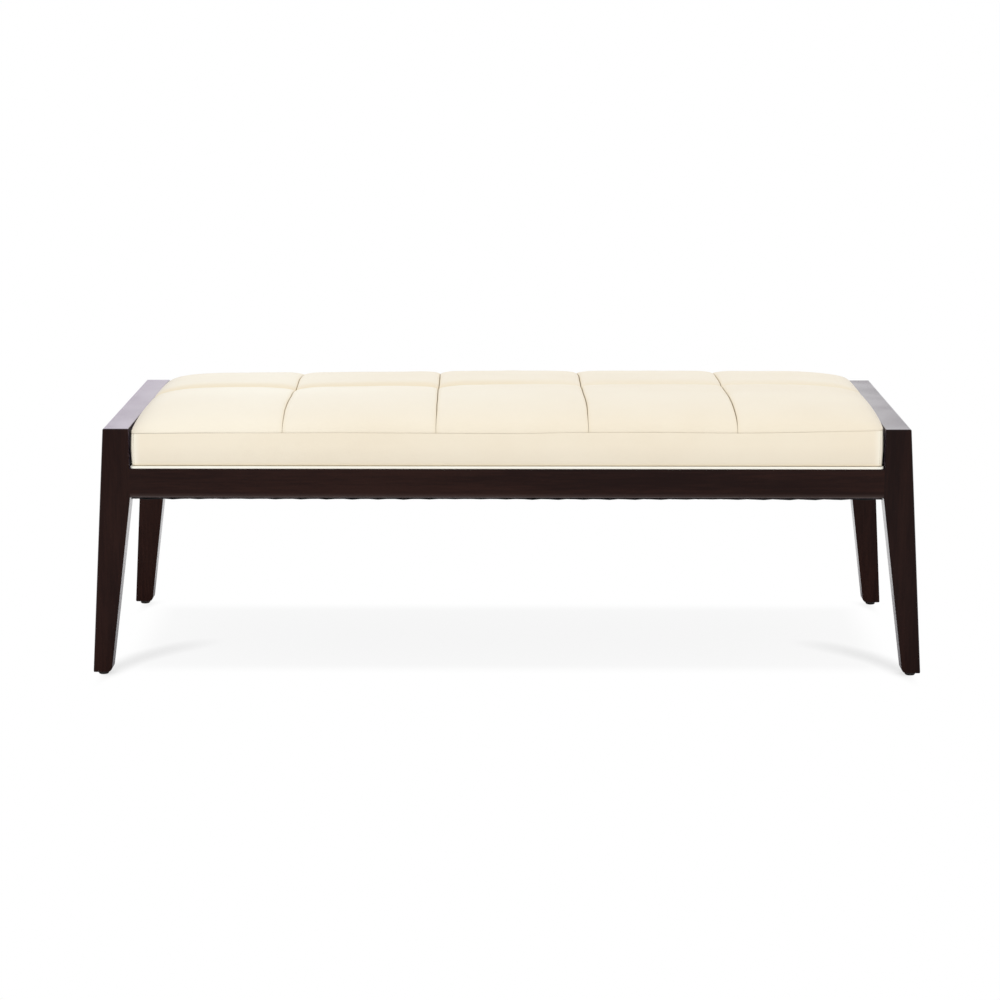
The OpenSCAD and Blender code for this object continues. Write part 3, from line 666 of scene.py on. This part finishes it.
def edge_table(low, high, low_is_seam, high_is_seam):
    """Grid lines across a panel: their places on its face and underside, their distances from
    the nearest seam and rim, and which ones are turned under and which come next."""
    first, last = [np.array(SEAM_LINES if sewn else RIM_LINES) for sewn in (low_is_seam, high_is_seam)]
    width = high - low
    middle = width - first[-1] - last[-1]
    steps = max(2, round(middle / PANEL_STEP))
    inner = first[-1] + middle * np.arange(1, steps) / steps
    lines = np.concatenate([first, inner, (width - last)[::-1]])
    order = np.arange(len(lines))
    half = len(lines) // 2
    from_low = np.where(order < half, lines, width)
    from_high = np.where(order >= half, width - lines, width)
    seam_edge = np.minimum(from_low if low_is_seam else width, from_high if high_is_seam else width)
    rim_edge = np.minimum(width if low_is_seam else from_low, width if high_is_seam else from_high)
    under = low + np.maximum(lines, TUCK + TUCK_STEP * order)
    under = np.minimum(under, high - TUCK - TUCK_STEP * order[::-1])
    to_end = np.minimum(order, order[::-1])
    return low + lines, under, seam_edge, rim_edge, to_end == 0, to_end == 1


def leather_panel(name, column, row):
    """One closed panel: its face, its folded edges and its wadding's underside."""
    edges_x = [-PANEL_X] + SEAM_X + [PANEL_X]
    edges_y = [-PANEL_Y, LONG_SEAM_Y, PANEL_Y]
    low_x = edges_x[column] + (SEAM_GAP if column else 0)
    high_x = edges_x[column + 1] - (SEAM_GAP if column < 4 else 0)
    low_y = edges_y[row] + (SEAM_GAP if row else 0)
    high_y = edges_y[row + 1] - (0 if row else SEAM_GAP)
    tables = zip(edge_table(low_x, high_x, column > 0, column < 4),
                 edge_table(low_y, high_y, row == 1, row == 0))
    (x, y), (x_below, y_below), (to_cross, to_long), to_rims, ends, seconds = [crossed(*t) for t in tables]
    to_seam = np.minimum(to_cross, to_long)
    tucked = np.logical_or(*ends)
    second = np.logical_or(*seconds) & ~tucked

    share = (x - low_x) / (high_x - low_x)
    left_shift = seam_shift(column - 1, y) if column else 0
    right_shift = seam_shift(column, y) if column < 4 else 0
    shift = left_shift * (1 - share) + right_shift * share

    z = leather_top(x, y)
    floor_z = foam_top(x_below, y_below)
    thick = np.maximum(z - floor_z, THINNEST)
    openings = [np.interp(y, OPEN_PLACES, SEAM_OPENINGS[i]) for i in (max(column - 1, 0), min(column, 3))]
    opening = np.where(to_long < to_cross, 1, np.where(share < 0.5, *openings))
    z = z - np.minimum(opening * fold(to_seam), FOLD_DEEPEST * thick)
    at_seam = to_seam < 1
    z = np.where(second & at_seam, z - FOLD_SINK * thick, z)
    z = np.where(tucked & at_seam, floor_z + UNDER_HEIGHT * thick, z)
    near_rim = np.minimum(*to_rims) < GROOVE_WIDTH
    groove_z = seam_height(x, y)
    z = np.where(second & near_rim, np.minimum(z, groove_z + GROOVE_RISE), z)
    z = np.where(tucked & near_rim, groove_z - GROOVE_DROP, z)

    top_x, top_y = rounded_corner(x, y)
    under_x, under_y = rounded_corner(x_below, y_below)
    top = np.stack([top_x + shift, top_y + course(x, y), z], -1)
    bottom = np.stack([under_x + shift, under_y + course(x, y), np.minimum(floor_z, z - THINNEST_EDGE)], -1)
    # Painted shade in the groove over the boxing, beside each seam, in the long seam's valley and in each
    # seam's gap
    at_groove = GROOVE_SHADE * near(np.maximum(z - groove_z, 0), GROOVE_REACH) * near_rim
    to_crease = np.abs(y - LONG_SEAM_Y)
    crease_painted_shade = np.interp(x, SHADE_PLACES, SHADES) * near(to_crease, SHADE_REACH[row], 3)
    hollow = np.maximum(HOLLOW_SHADE * near(to_seam, HOLLOW_REACH), crease_painted_shade)
    # The ends take a painted shade and a painted reflection of the dark rails, least at the front
    worn = np.where(x < 0, *RAIL_SHADE) * np.exp(-(PANEL_X - np.abs(x)).clip(0) / np.where(x < 0, *RAIL_SHADE_REACH))
    worn = (worn * np.interp(y, (-PANEL_Y, FRONT_DEPTH - PANEL_Y), (RAIL_SHADE_FRONT, 1))).clip(0, 1)
    # Painted highlight, strongest towards the left end and on the crest in front of the long seam
    if row:
        pale = np.interp(x, HIGHLIGHT_PLACES, HIGHLIGHT_BACKS)
    else:
        on_top = crown(x, y).clip(0, 1) ** 2
        tops, fronts, crests = [
            np.interp(x, HIGHLIGHT_PLACES, shares) for shares in (HIGHLIGHT_TOPS, HIGHLIGHT_FRONTS, HIGHLIGHT_CRESTS)]
        pale = tops * on_top + fronts * (1 - on_top) + crests * near(to_crease / HIGHLIGHT_CREST_REACH - 1, 1)
    return closed_grid(name, top, bottom, pale=pale, worn=worn, hollow=hollow,
                       near_seam=np.maximum(opening * near(to_seam, THREAD_REACH), at_groove))


# Leather figure: pebbled grain of two sizes, hair-fine creases and a slow change of tone
leather_figure, given, wanted = new_group("leather_figure", {
    "Vector": ("Vector",), "Pebble Size": ("Float", 1.3 * MM), "Depth": ("Float", 0.05 * MM),
}, {"Height": "Float", "Tone": "Float", "Valleys": "Float"})
tree, place = leather_figure, given["Vector"]
warp = node(tree, "TexNoise", {"Vector": place, "Scale": 260.0, "Detail": 2.0}).outputs["Color"]
shifted = out_of(tree, "VectorMath", {0: warp, "Scale": 1.2 * MM}, operation="SCALE")
warped = out_of(tree, "VectorMath", {0: shifted, 1: place}, operation="ADD")
scale = maths("DIVIDE", 1.0, given["Pebble Size"])
pebbles = node(tree, "TexVoronoi", {"Vector": warped, "Scale": scale}, feature="DISTANCE_TO_EDGE")
raised = spread(pebbles.outputs["Distance"], 0, 0.22)
surface = maths("ADD", raised, product(noise(place, 2400.0, 2.0), 0.35))
join(wanted, Height=product(surface, given["Depth"]),
     Tone=spread(noise(place, 5.5, 4.0), 0.3, 0.7), Valleys=maths("SUBTRACT", 1, raised))


def dyed_leather(name, colour, deep_colour):
    made, tree, shader, place = new_material(name)
    hide = placed(leather_figure, place)

    def marked(first, key, tint):
        return mixed(node(tree, "Attribute", attribute_name=key).outputs["Fac"], first, tint)

    # Mixes in the painted highlight, the grain's darker valleys, the darkening, the painted shade and the
    # seams' dark lines, part thread colour and part painted shade
    toned = marked(mixed(hide["Tone"], colour, deep_colour), "pale", LEATHER_HIGHLIGHT)
    shaded = mixed(product(hide["Valleys"], 0.10), toned, deep_colour)
    for key, tint in (("worn", LEATHER_DARKENING), ("hollow", LEATHER_PAINTED_SHADE), ("near_seam", SEAM_SHADE)):
        shaded = marked(shaded, key, tint)
    join(shader, Base_Color=shaded, Roughness=handled(place, LEATHER_ROUGHNESS, 0.10),
         Normal=bumped(hide["Height"]))
    return made


leather = dyed_leather("ivory_leather", LEATHER, LEATHER_DEEP)
for row, side in enumerate(("front", "back")):
    for column in range(5):
        spot = f"{side}_{column + 1}"
        panel = leather_panel("leather_" + spot, column, row)
        finish_piece(panel, leather, "leather", "panel_" + spot)


# Boxing: four bands of the same leather stand round the cushion, backed with wadding.
# Each is drawn in at its top and bottom seam, and the end bands turn round the corners.
BAND_FOOT, BAND_TOP = 389.2, 450.85
BAND_THICK, BAND_DRAW = 2.0, 1.5
BAND_TUCK, TUCK_FADES = 0.4, 45.0
# Slackness of a band: its height and wavelength in the middle, its height and wavelengths at
# the top and bottom seams, and how far from the band's ends it is full
SLACK, SLACK_LENGTH = 0.35, 210
SEAM_SLACK, TOP_LENGTH, FOOT_LENGTH = 0.16, 37, 31
SLACK_FULL, SEAM_FADES = 25, 5
SEAT_X, SEAT_Y, SEAT_ROUND = 674.5, 277.0, 6.0
BAND_STEP, CORNER_STEPS, CORNER_GAP = 5.0, 12, 0.1
# Heights of the rows of points as a share of the band, and how far the rows turn in
BAND_SHARES = [0.004, 0, 0.012, 0.03, 0.08, 0.16, 0.26, 0.38, 0.5,
               0.62, 0.74, 0.84, 0.92, 0.97, 0.99, 1, 0.996]
BAND_TURNS = [0.9, 0.35, 0.05] + 11 * [0] + [0.02, 0.15, 0.9]
# Distances of the first columns of points from an end of the band
END_COLUMNS = np.array([0.1, 0.3, 0.7, 1.4, 2.4])
END_DRAW, DRAW_REACH = 0.45, 0.3
# Towards the left end, between these places, the top seam is pressed closed, and lies higher
PRESSED, PRESSED_RISE = (-560, -400), (0.2, 0)
# Share and reach of the painted highlight on the corners, of the warm painted shade over the welt
# and of the painted shade at the end seams, and its share at the turned edges; share of the
# darkening of the lower part, and how fast it and the tuck fade upwards
CORNER_HIGHLIGHT, CORNER_HIGHLIGHT_REACH = 0.62, 7
WARM_SHADE, WARM_REACH = 0.6, 0.05
END_SHADE, END_REACH, TURN_SHADE = 0.1, 0.25, 0.05
LOWER_DARKENING, DARKENING_FALL, TUCK_FALL = 0.5, 1.6, 2.5


def bulge(share, tuck=0.0):
    """How far the band lies in behind its fullest line, at a share of its height."""
    return -BAND_DRAW * (2 * share - 1) ** 2 - tuck * np.clip(1 - TUCK_FALL * share, 0, 1) ** 2


def straight_run(start, end, normal):
    """Points along a straight run at the band's fullest line: place and outward normal."""
    count = max(2, int(math.dist(start, end) / BAND_STEP))
    t = np.linspace(0, 1, count + 1)[:, None]
    return np.hstack([np.array(start) * (1 - t) + np.array(end) * t, np.tile(normal, (count + 1, 1))])


def corner_run(centre, start, radius):
    """Points round a quarter turn from a start angle: place and outward normal."""
    angle = np.radians(np.linspace(start, start + 90, CORNER_STEPS + 1))
    normal = np.stack([np.cos(angle), np.sin(angle)], -1)
    return np.hstack([np.array(centre) + radius * normal, normal])


def leather_band(name, run, seed, tuck):
    """A closed band that follows a run of places and normals, folded in at all its edges."""
    travelled = np.concatenate([[0], np.cumsum(np.hypot(*np.diff(run[:, :2], axis=0).T))])
    length = travelled[-1]
    inner = np.unique(np.round(np.concatenate([
        END_COLUMNS, travelled[(travelled > 3) & (travelled < length - 3)], length - END_COLUMNS]), 4))
    way = np.concatenate([[0], inner, [length]])[:, None]
    x, y, *normal = [np.interp(way, travelled, part) for part in run.T]
    normal_x, normal_y = normal / np.hypot(*normal)
    to_end = np.minimum(way, length - way)
    share, turn_in = np.array([BAND_SHARES]), np.array([BAND_TURNS])
    closed = np.interp(x, PRESSED, PRESSED_RISE)
    wave = seam_height(x, y) + closed - SEAM_Z
    height = BAND_FOOT + (BAND_TOP + wave - BAND_FOOT) * share
    slack = SLACK * wander(way, SLACK_LENGTH, seed) * np.sin(np.pi * share) + SEAM_SLACK * (
        wander(way, TOP_LENGTH, seed + 1) * np.exp(-(1 - share) * SEAM_FADES)
        + wander(way, FOOT_LENGTH, seed + 2) * np.exp(-share * SEAM_FADES))
    drawn = bulge(share, tuck * (1 - np.exp(-to_end / TUCK_FADES)))
    out = drawn - turn_in - END_DRAW * near(to_end, DRAW_REACH) + slack * np.minimum(1, to_end / SLACK_FULL)

    def laid(offset):
        return np.stack([x + normal_x * offset, y + normal_y * offset, height], -1)

    # The band is painted darker towards its bottom, takes a warm painted shade over the welt and a
    # painted shade at its seams and turned edges, and has a painted highlight on its rounded corners
    pale = CORNER_HIGHLIGHT * near(to_end, CORNER_HIGHLIGHT_REACH)
    worn = LOWER_DARKENING * np.clip(1 - DARKENING_FALL * share, 0, 1) * (1 - DARKENING_FALL * pale)
    near_seam = np.maximum(END_SHADE * near(to_end, END_REACH), TURN_SHADE * (turn_in / BAND_TURNS[0]) ** 2)
    return closed_grid(name, laid(out), laid(drawn - BAND_THICK), pale=pale, worn=worn,
                       hollow=WARM_SHADE * near(share, WARM_REACH), near_seam=near_seam)


# From the front corner seam round the right end of the seat to the back corner seam
right_run = np.vstack([
    corner_run((CORNER_X, -CORNER_Y), -90, SEAT_ROUND),
    straight_run((SEAT_X, -CORNER_Y), (SEAT_X, CORNER_Y), (1, 0))[1:-1],
    corner_run((CORNER_X, CORNER_Y), 0, SEAT_ROUND)])
front_x = CORNER_X - CORNER_GAP
band_runs = {
    "front": (straight_run((-front_x, -SEAT_Y), (front_x, -SEAT_Y), (0, -1)), BAND_TUCK),
    "right": (right_run, 0),
    "back": (straight_run((front_x, SEAT_Y), (-front_x, SEAT_Y), (0, 1)), BAND_TUCK),
    "left": (-right_run, 0),
}
for number, (side, (run, tuck)) in enumerate(band_runs.items()):
    band = leather_band("boxing_" + side, run, 40 + 5 * number, tuck)
    finish_piece(band, leather, "leather", "band_" + side)


# Stitches: taupe bonded thread joins the panels to the bands, the bands to each other at
# the corners, and the panels to one another down in their seams.
STITCH_PITCH, STITCH_LENGTH, THREAD = 4.4 * MM, 2.5 * MM, 0.85 * MM
THREAD_COLOUR = (0.24, 0.18, 0.11, 1)
THREAD_DEEP = (0.17, 0.125, 0.075, 1)
# How far the stitches sink: at the boxing's seam, at the corners and below the leather's face
BOXING_INSET, BOXING_DROP, BOXING_SINK = 0.1, -0.05, 0.7
CORNER_SINK, PANEL_SINK = 0.6, 2.9


def new_tree(name, sizes, number):
    """A geometry tree that follows a guide's curve, with sizes, a whole number and a material."""
    tree, given, wanted = new_group(name, {
        "Geometry": ("Geometry",), **{size: ("Float",) for size in sizes}, number: ("Int",),
        "Material": ("Material",)}, {"Geometry": "Geometry"}, "Geometry")
    return tree, given, out_of(tree, "GeometryNodeMeshToCurve", {"Mesh": given["Geometry"]}), wanted


def finish_tree(given, wanted, shape):
    """Makes the instances real, smooths them and gives them their material."""
    tree = shape.id_data
    real = out_of(tree, "GeometryNodeRealizeInstances", {"Geometry": shape})
    smooth = out_of(tree, "GeometryNodeSetShadeSmooth", {"Geometry": real})
    join(wanted, Geometry=out_of(tree, "GeometryNodeSetMaterial", {
        "Geometry": smooth, "Material": given["Material"]}))


def grown(name, tree, runs, closed=False, **inputs):
    """Runs a tree on polylines in millimetres and keeps its result as a plain mesh object."""
    points, edges = [], []
    for run in runs:
        start = len(points)
        points += [tuple(float(c) * MM for c in p) for p in run]
        edges += [(i, i + 1) for i in range(start, len(points) - 1)]
        if closed:
            edges.append((len(points) - 1, start))
    guide = plain_mesh(name + "_guide", points, [], edges, smooth=False)
    modifier = guide.modifiers.new(tree.name, "NODES")
    modifier.node_group = tree
    for item in tree.interface.items_tree:
        key = item.name.replace(" ", "_")
        if item.in_out == "INPUT" and key in inputs:
            modifier[item.identifier] = inputs[key]
    evaluated = guide.evaluated_get(bpy.context.evaluated_depsgraph_get())
    mesh = bpy.data.meshes.new_from_object(evaluated)
    mesh.name = name
    guide.modifiers.remove(modifier)
    bpy.data.objects.remove(guide)
    return added(name, mesh)


def along_path(given, path, shape):
    """Sets a shape that lies along X on points along a path, each a little different."""
    tree = path.id_data
    spaced = node(tree, "GeometryNodeCurveToPoints", {
        "Curve": path, "Length": given["Pitch"]}, mode="LENGTH").outputs
    turn = out_of(tree, "FunctionNodeAlignRotationToVector", {"Vector": spaced["Tangent"]}, axis="X")
    size = out_of(tree, "FunctionNodeRandomValue", {
        0: (0.9, 0.9, 0.9), 1: (1.08, 1.08, 1.08), "Seed": given["Seed"]}, data_type="FLOAT_VECTOR")
    return out_of(tree, "GeometryNodeInstanceOnPoints", {
        "Points": spaced["Points"], "Instance": shape, "Rotation": turn, "Scale": size})


stitch_tree, given, path, wanted = new_tree("stitch_row", ["Pitch", "Stitch Length", "Thread"], "Seed")
tree = stitch_tree
bead = out_of(tree, "GeometryNodeMeshUVSphere", {"Segments": 6, "Rings": 5, "Radius": 0.5})
bead_size = out_of(tree, "CombineXYZ", {0: given["Stitch Length"], 1: given["Thread"], 2: given["Thread"]})
stitch = out_of(tree, "GeometryNodeTransform", {"Geometry": bead, "Scale": bead_size})
finish_tree(given, wanted, along_path(given, path, stitch))

thread, tree, shader, place = new_material("bonded_thread")
twist = node(tree, "TexWave", {"Vector": place, "Scale": 900.0, "Distortion": 1.0}).outputs["Fac"]
join(shader, Roughness=0.6, Normal=bumped(twist, 0.04 * MM),
     Base_Color=mixed(twist, THREAD_COLOUR, THREAD_DEEP))


def ring(half_x, half_y, radius, z, step=5.0):
    """A closed rounded rectangle of points. half_x and half_y reach to its straight sides."""
    cx, cy = half_x - radius, half_y - radius
    points = []
    for centre, start in (((cx, -cy), -90), ((cx, cy), 0), ((-cx, cy), 90), ((-cx, -cy), 180)):
        points += [(x, y, z) for x, y in corner_run(centre, start, radius)[:, :2]]
    filled = []
    for a, b in zip(points, points[1:] + points[:1]):
        count = max(1, int(math.dist(a, b) / step))
        filled += [tuple(p + (q - p) * k / count for p, q in zip(a, b)) for k in range(count)]
    return filled


# The boxing's stitches stand proud near its left end, and sink into the seam along the rest
boxing_line = ring(PANEL_X - BOXING_INSET, PANEL_Y - BOXING_INSET, CORNER_ROUND - BOXING_INSET, BOXING_DROP)
boxing_row = [(x, y * (1 - np.interp(x, PRESSED, (0, BOXING_SINK)) / PANEL_Y), drop + seam_height(x, y))
              for x, y, drop in boxing_line]
corner_rows = [
    [(side * CORNER_X, end * (SEAT_Y + bulge(t) - CORNER_SINK), BAND_FOOT + (BAND_TOP - BAND_FOOT) * t)
     for t in np.linspace(0.02, 0.98, 25)]
    for side in (-1, 1) for end in (-1, 1)]
y = np.linspace(1.5 - PANEL_Y, PANEL_Y - 1.5, 160)
seam_rows = [zip(line + seam_shift(i, y), y + course(line, y), leather_top(0 * y + line, y) - PANEL_SINK)
             for i, line in enumerate(SEAM_X)]
for name, rows, closed, seed in (("boxing_stitches", [boxing_row], True, 7),
                                 ("corner_stitches", corner_rows, False, 8),
                                 ("panel_stitches", seam_rows, False, 9)):
    stitches = grown(name, stitch_tree, rows, closed, Pitch=STITCH_PITCH, Stitch_Length=STITCH_LENGTH,
                     Thread=THREAD, Seed=seed, Material=thread)
    finish_piece(stitches, thread, "leather")


# Welt: a cord wrapped in the leather and sewn under the bands. It lies on the aprons and
# closes the joint between the seat and the frame.
WELT_RADIUS = 2.5 * MM
WELT_Z = 386.6
WELT_X, WELT_Y, WELT_ROUND = 673.9, 277.6, 5.4
# The welt's leather is a lighter copy of the seat's: a painted highlight on its lit top
WELT_LIT_LEATHER = (0.97, 0.955, 0.865, 1)
WELT_LIT_DEEP = (0.95, 0.92, 0.81, 1)

welt_tree, given, path, wanted = new_tree("wrapped_cord", ["Radius", "Unevenness"], "Sides")
tree = welt_tree
lumps = maths("SUBTRACT", out_of(tree, "TexNoise", {"Scale": 55.0, "Detail": 1.0}), 0.5)
swell = maths("ADD", 1, product(lumps, given["Unevenness"]))
uneven_path = out_of(tree, "GeometryNodeSetCurveRadius", {"Curve": path, "Radius": swell})
section = out_of(tree, "GeometryNodeCurvePrimitiveCircle", {
    "Resolution": given["Sides"], "Radius": given["Radius"]})
tube = out_of(tree, "GeometryNodeCurveToMesh", {"Curve": uneven_path, "Profile Curve": section})
finish_tree(given, wanted, tube)

welt_leather = dyed_leather("welt_leather", WELT_LIT_LEATHER, WELT_LIT_DEEP)
welt_line = ring(WELT_X, WELT_Y, WELT_ROUND, WELT_Z, step=6.0)
welt = grown("leather_welt", welt_tree, [welt_line], closed=True, Radius=WELT_RADIUS, Unevenness=0.10,
             Sides=20, Material=welt_leather)
finish_piece(welt, welt_leather, "welt_leather", "seat_welt")


# Dust cover: black cambric, hemmed and stapled under the aprons and end rails, cut out
# round the legs. It closes the seat from below and sags a little between its staples.
COVER_X, COVER_Y = 691.5, 276.0
NOTCH_X, NOTCH_Y = 676.0, 236.5
COVER_TOP = 330.0
CLOTH, HEM_CLOTH = 0.35, 1.1
HEM, HEM_DROOP = 12.0, 1.3
COVER_SAG = 3.2
SAG_ROLL_X, SAG_ROLL_Y, SAG_SOFTNESS = 300, 200, 0.8
CAMBRIC = (0.006, 0.006, 0.007, 1)
CAMBRIC_PALE = (0.017, 0.017, 0.018, 1)
STAPLE_PITCH, STAPLE_WIDTH, STAPLE_WIRE = 46.0, 10.0, 0.55
# The staples begin so far from a notch
STAPLE_START = 8


def cover_lines(notch, edge):
    """Grid lines across the cover: hem, notch and middle."""
    inner = np.linspace(0, notch - HEM - 0.8, 44)[1:]
    outer = [notch - HEM, notch - 0.8, notch, notch + 0.5 * (edge - notch), edge - 0.6, edge]
    half = np.unique(np.concatenate([inner, outer]))
    return np.concatenate([-half[::-1], [0], half])


x, y = crossed(cover_lines(NOTCH_X, COVER_X), cover_lines(NOTCH_Y, COVER_Y))
sag = (COVER_SAG * rise(NOTCH_X - np.abs(x), SAG_ROLL_X, SAG_SOFTNESS)
       * rise(NOTCH_Y - np.abs(y), SAG_ROLL_Y, SAG_SOFTNESS))
# Between its staples the hem hangs down a little, more in some places than in others
apron_hem = (np.abs(y) - NOTCH_Y).clip(0) / (COVER_Y - NOTCH_Y)
between_staples = 0.5 - 0.5 * np.cos(2 * np.pi * (x + NOTCH_X - STAPLE_START) / STAPLE_PITCH)
sag = sag + apron_hem * HEM_DROOP * between_staples * (1 + 0.6 * wander(x, 410, 31))
in_hem = np.maximum(np.abs(x) - (NOTCH_X - HEM), np.abs(y) - (NOTCH_Y - HEM)) > -0.5
cloth = np.where(in_hem, HEM_CLOTH, CLOTH)
kept = ~((np.abs(x) > NOTCH_X + 0.01) & (np.abs(y) > NOTCH_Y + 0.01))
lower = int(kept.sum())
number = np.full(x.shape, -1)
number[kept] = np.arange(lower)
points, faces, sides = [], [], {}
for z in (COVER_TOP - sag, COVER_TOP - sag - cloth):
    points += [(a * MM, b * MM, c * MM) for a, b, c in zip(x[kept], y[kept], z[kept])]
for i, j in np.ndindex(x.shape[0] - 1, x.shape[1] - 1):
    corners = [int(number[i + a, j + b]) for a, b in ((0, 0), (1, 0), (1, 1), (0, 1))]
    if min(corners) >= 0:
        faces += [corners, [c + lower for c in corners[::-1]]]
        sides.update(dict.fromkeys(zip(corners, corners[1:] + corners[:1])))
# A side of a face that no other face has lies on the cover's rim, and gets a wall
faces += [[a + lower, b + lower, b, a] for a, b in sides if (b, a) not in sides]
cover = plain_mesh("cambric_cover", points, faces)

cambric, tree, shader, place = new_material("black_cambric")
fibres = noise(place, 700.0, 5.0, Roughness=0.7)
weave_x, weave_y = [node(tree, "TexWave", {"Vector": place, "Scale": 320.0, "Distortion": 1.5},
                         bands_direction=axis).outputs["Fac"] for axis in "XY"]
threads = product(maths("MAXIMUM", weave_x, weave_y), 0.6)
cloth_height = maths("ADD", threads, fibres)
join(shader, Base_Color=mixed(cloth_height, CAMBRIC, CAMBRIC_PALE),
     Roughness=0.9, Specular_IOR_Level=0.2, Normal=bumped(cloth_height, 0.12 * MM))
finish_piece(cover, cambric, "cambric", "dust_cover")

staple_tree, given, path, wanted = new_tree("staple_row", ["Pitch", "Width", "Wire"], "Seed")
tree = staple_tree
# Each staple is one bent wire: both legs go up, and its crown lies below them
bends = {end + point: out_of(tree, "CombineXYZ", {
    0: product(given["Width"], side), 2: product(given["Wire"], height)})
    for end, side in (("Start", -0.5), ("End", 0.5)) for point, height in (("", 3.0), (" Handle", -3.0))}
wire_line = out_of(tree, "GeometryNodeCurvePrimitiveBezierSegment", {"Resolution": 8, **bends})
wire_section = out_of(tree, "GeometryNodeCurvePrimitiveCircle", {"Resolution": 6, "Radius": given["Wire"]})
staple = out_of(tree, "GeometryNodeCurveToMesh", {
    "Curve": wire_line, "Profile Curve": wire_section, "Fill Caps": True})
finish_tree(given, wanted, along_path(given, path, staple))

staple_z = COVER_TOP - HEM_CLOTH - STAPLE_WIRE
rail_line, rail_end = NOTCH_X + 0.55 * (COVER_X - NOTCH_X), NOTCH_Y - STAPLE_START
apron_line, apron_end = COVER_Y - 7, NOTCH_X - STAPLE_START
staple_rows = [
    [(side * rail_line, y, staple_z) for y in (-rail_end, rail_end)] for side in (-1, 1)
] + [[(x, side * apron_line, staple_z) for x in (-apron_end, apron_end)] for side in (-1, 1)]
staples = grown("cover_staples", staple_tree, staple_rows, Pitch=STAPLE_PITCH * MM,
                Width=STAPLE_WIDTH * MM, Wire=STAPLE_WIRE * MM, Seed=21, Material=zinc_plate)
finish_piece(staples, zinc_plate, "screw_steel")
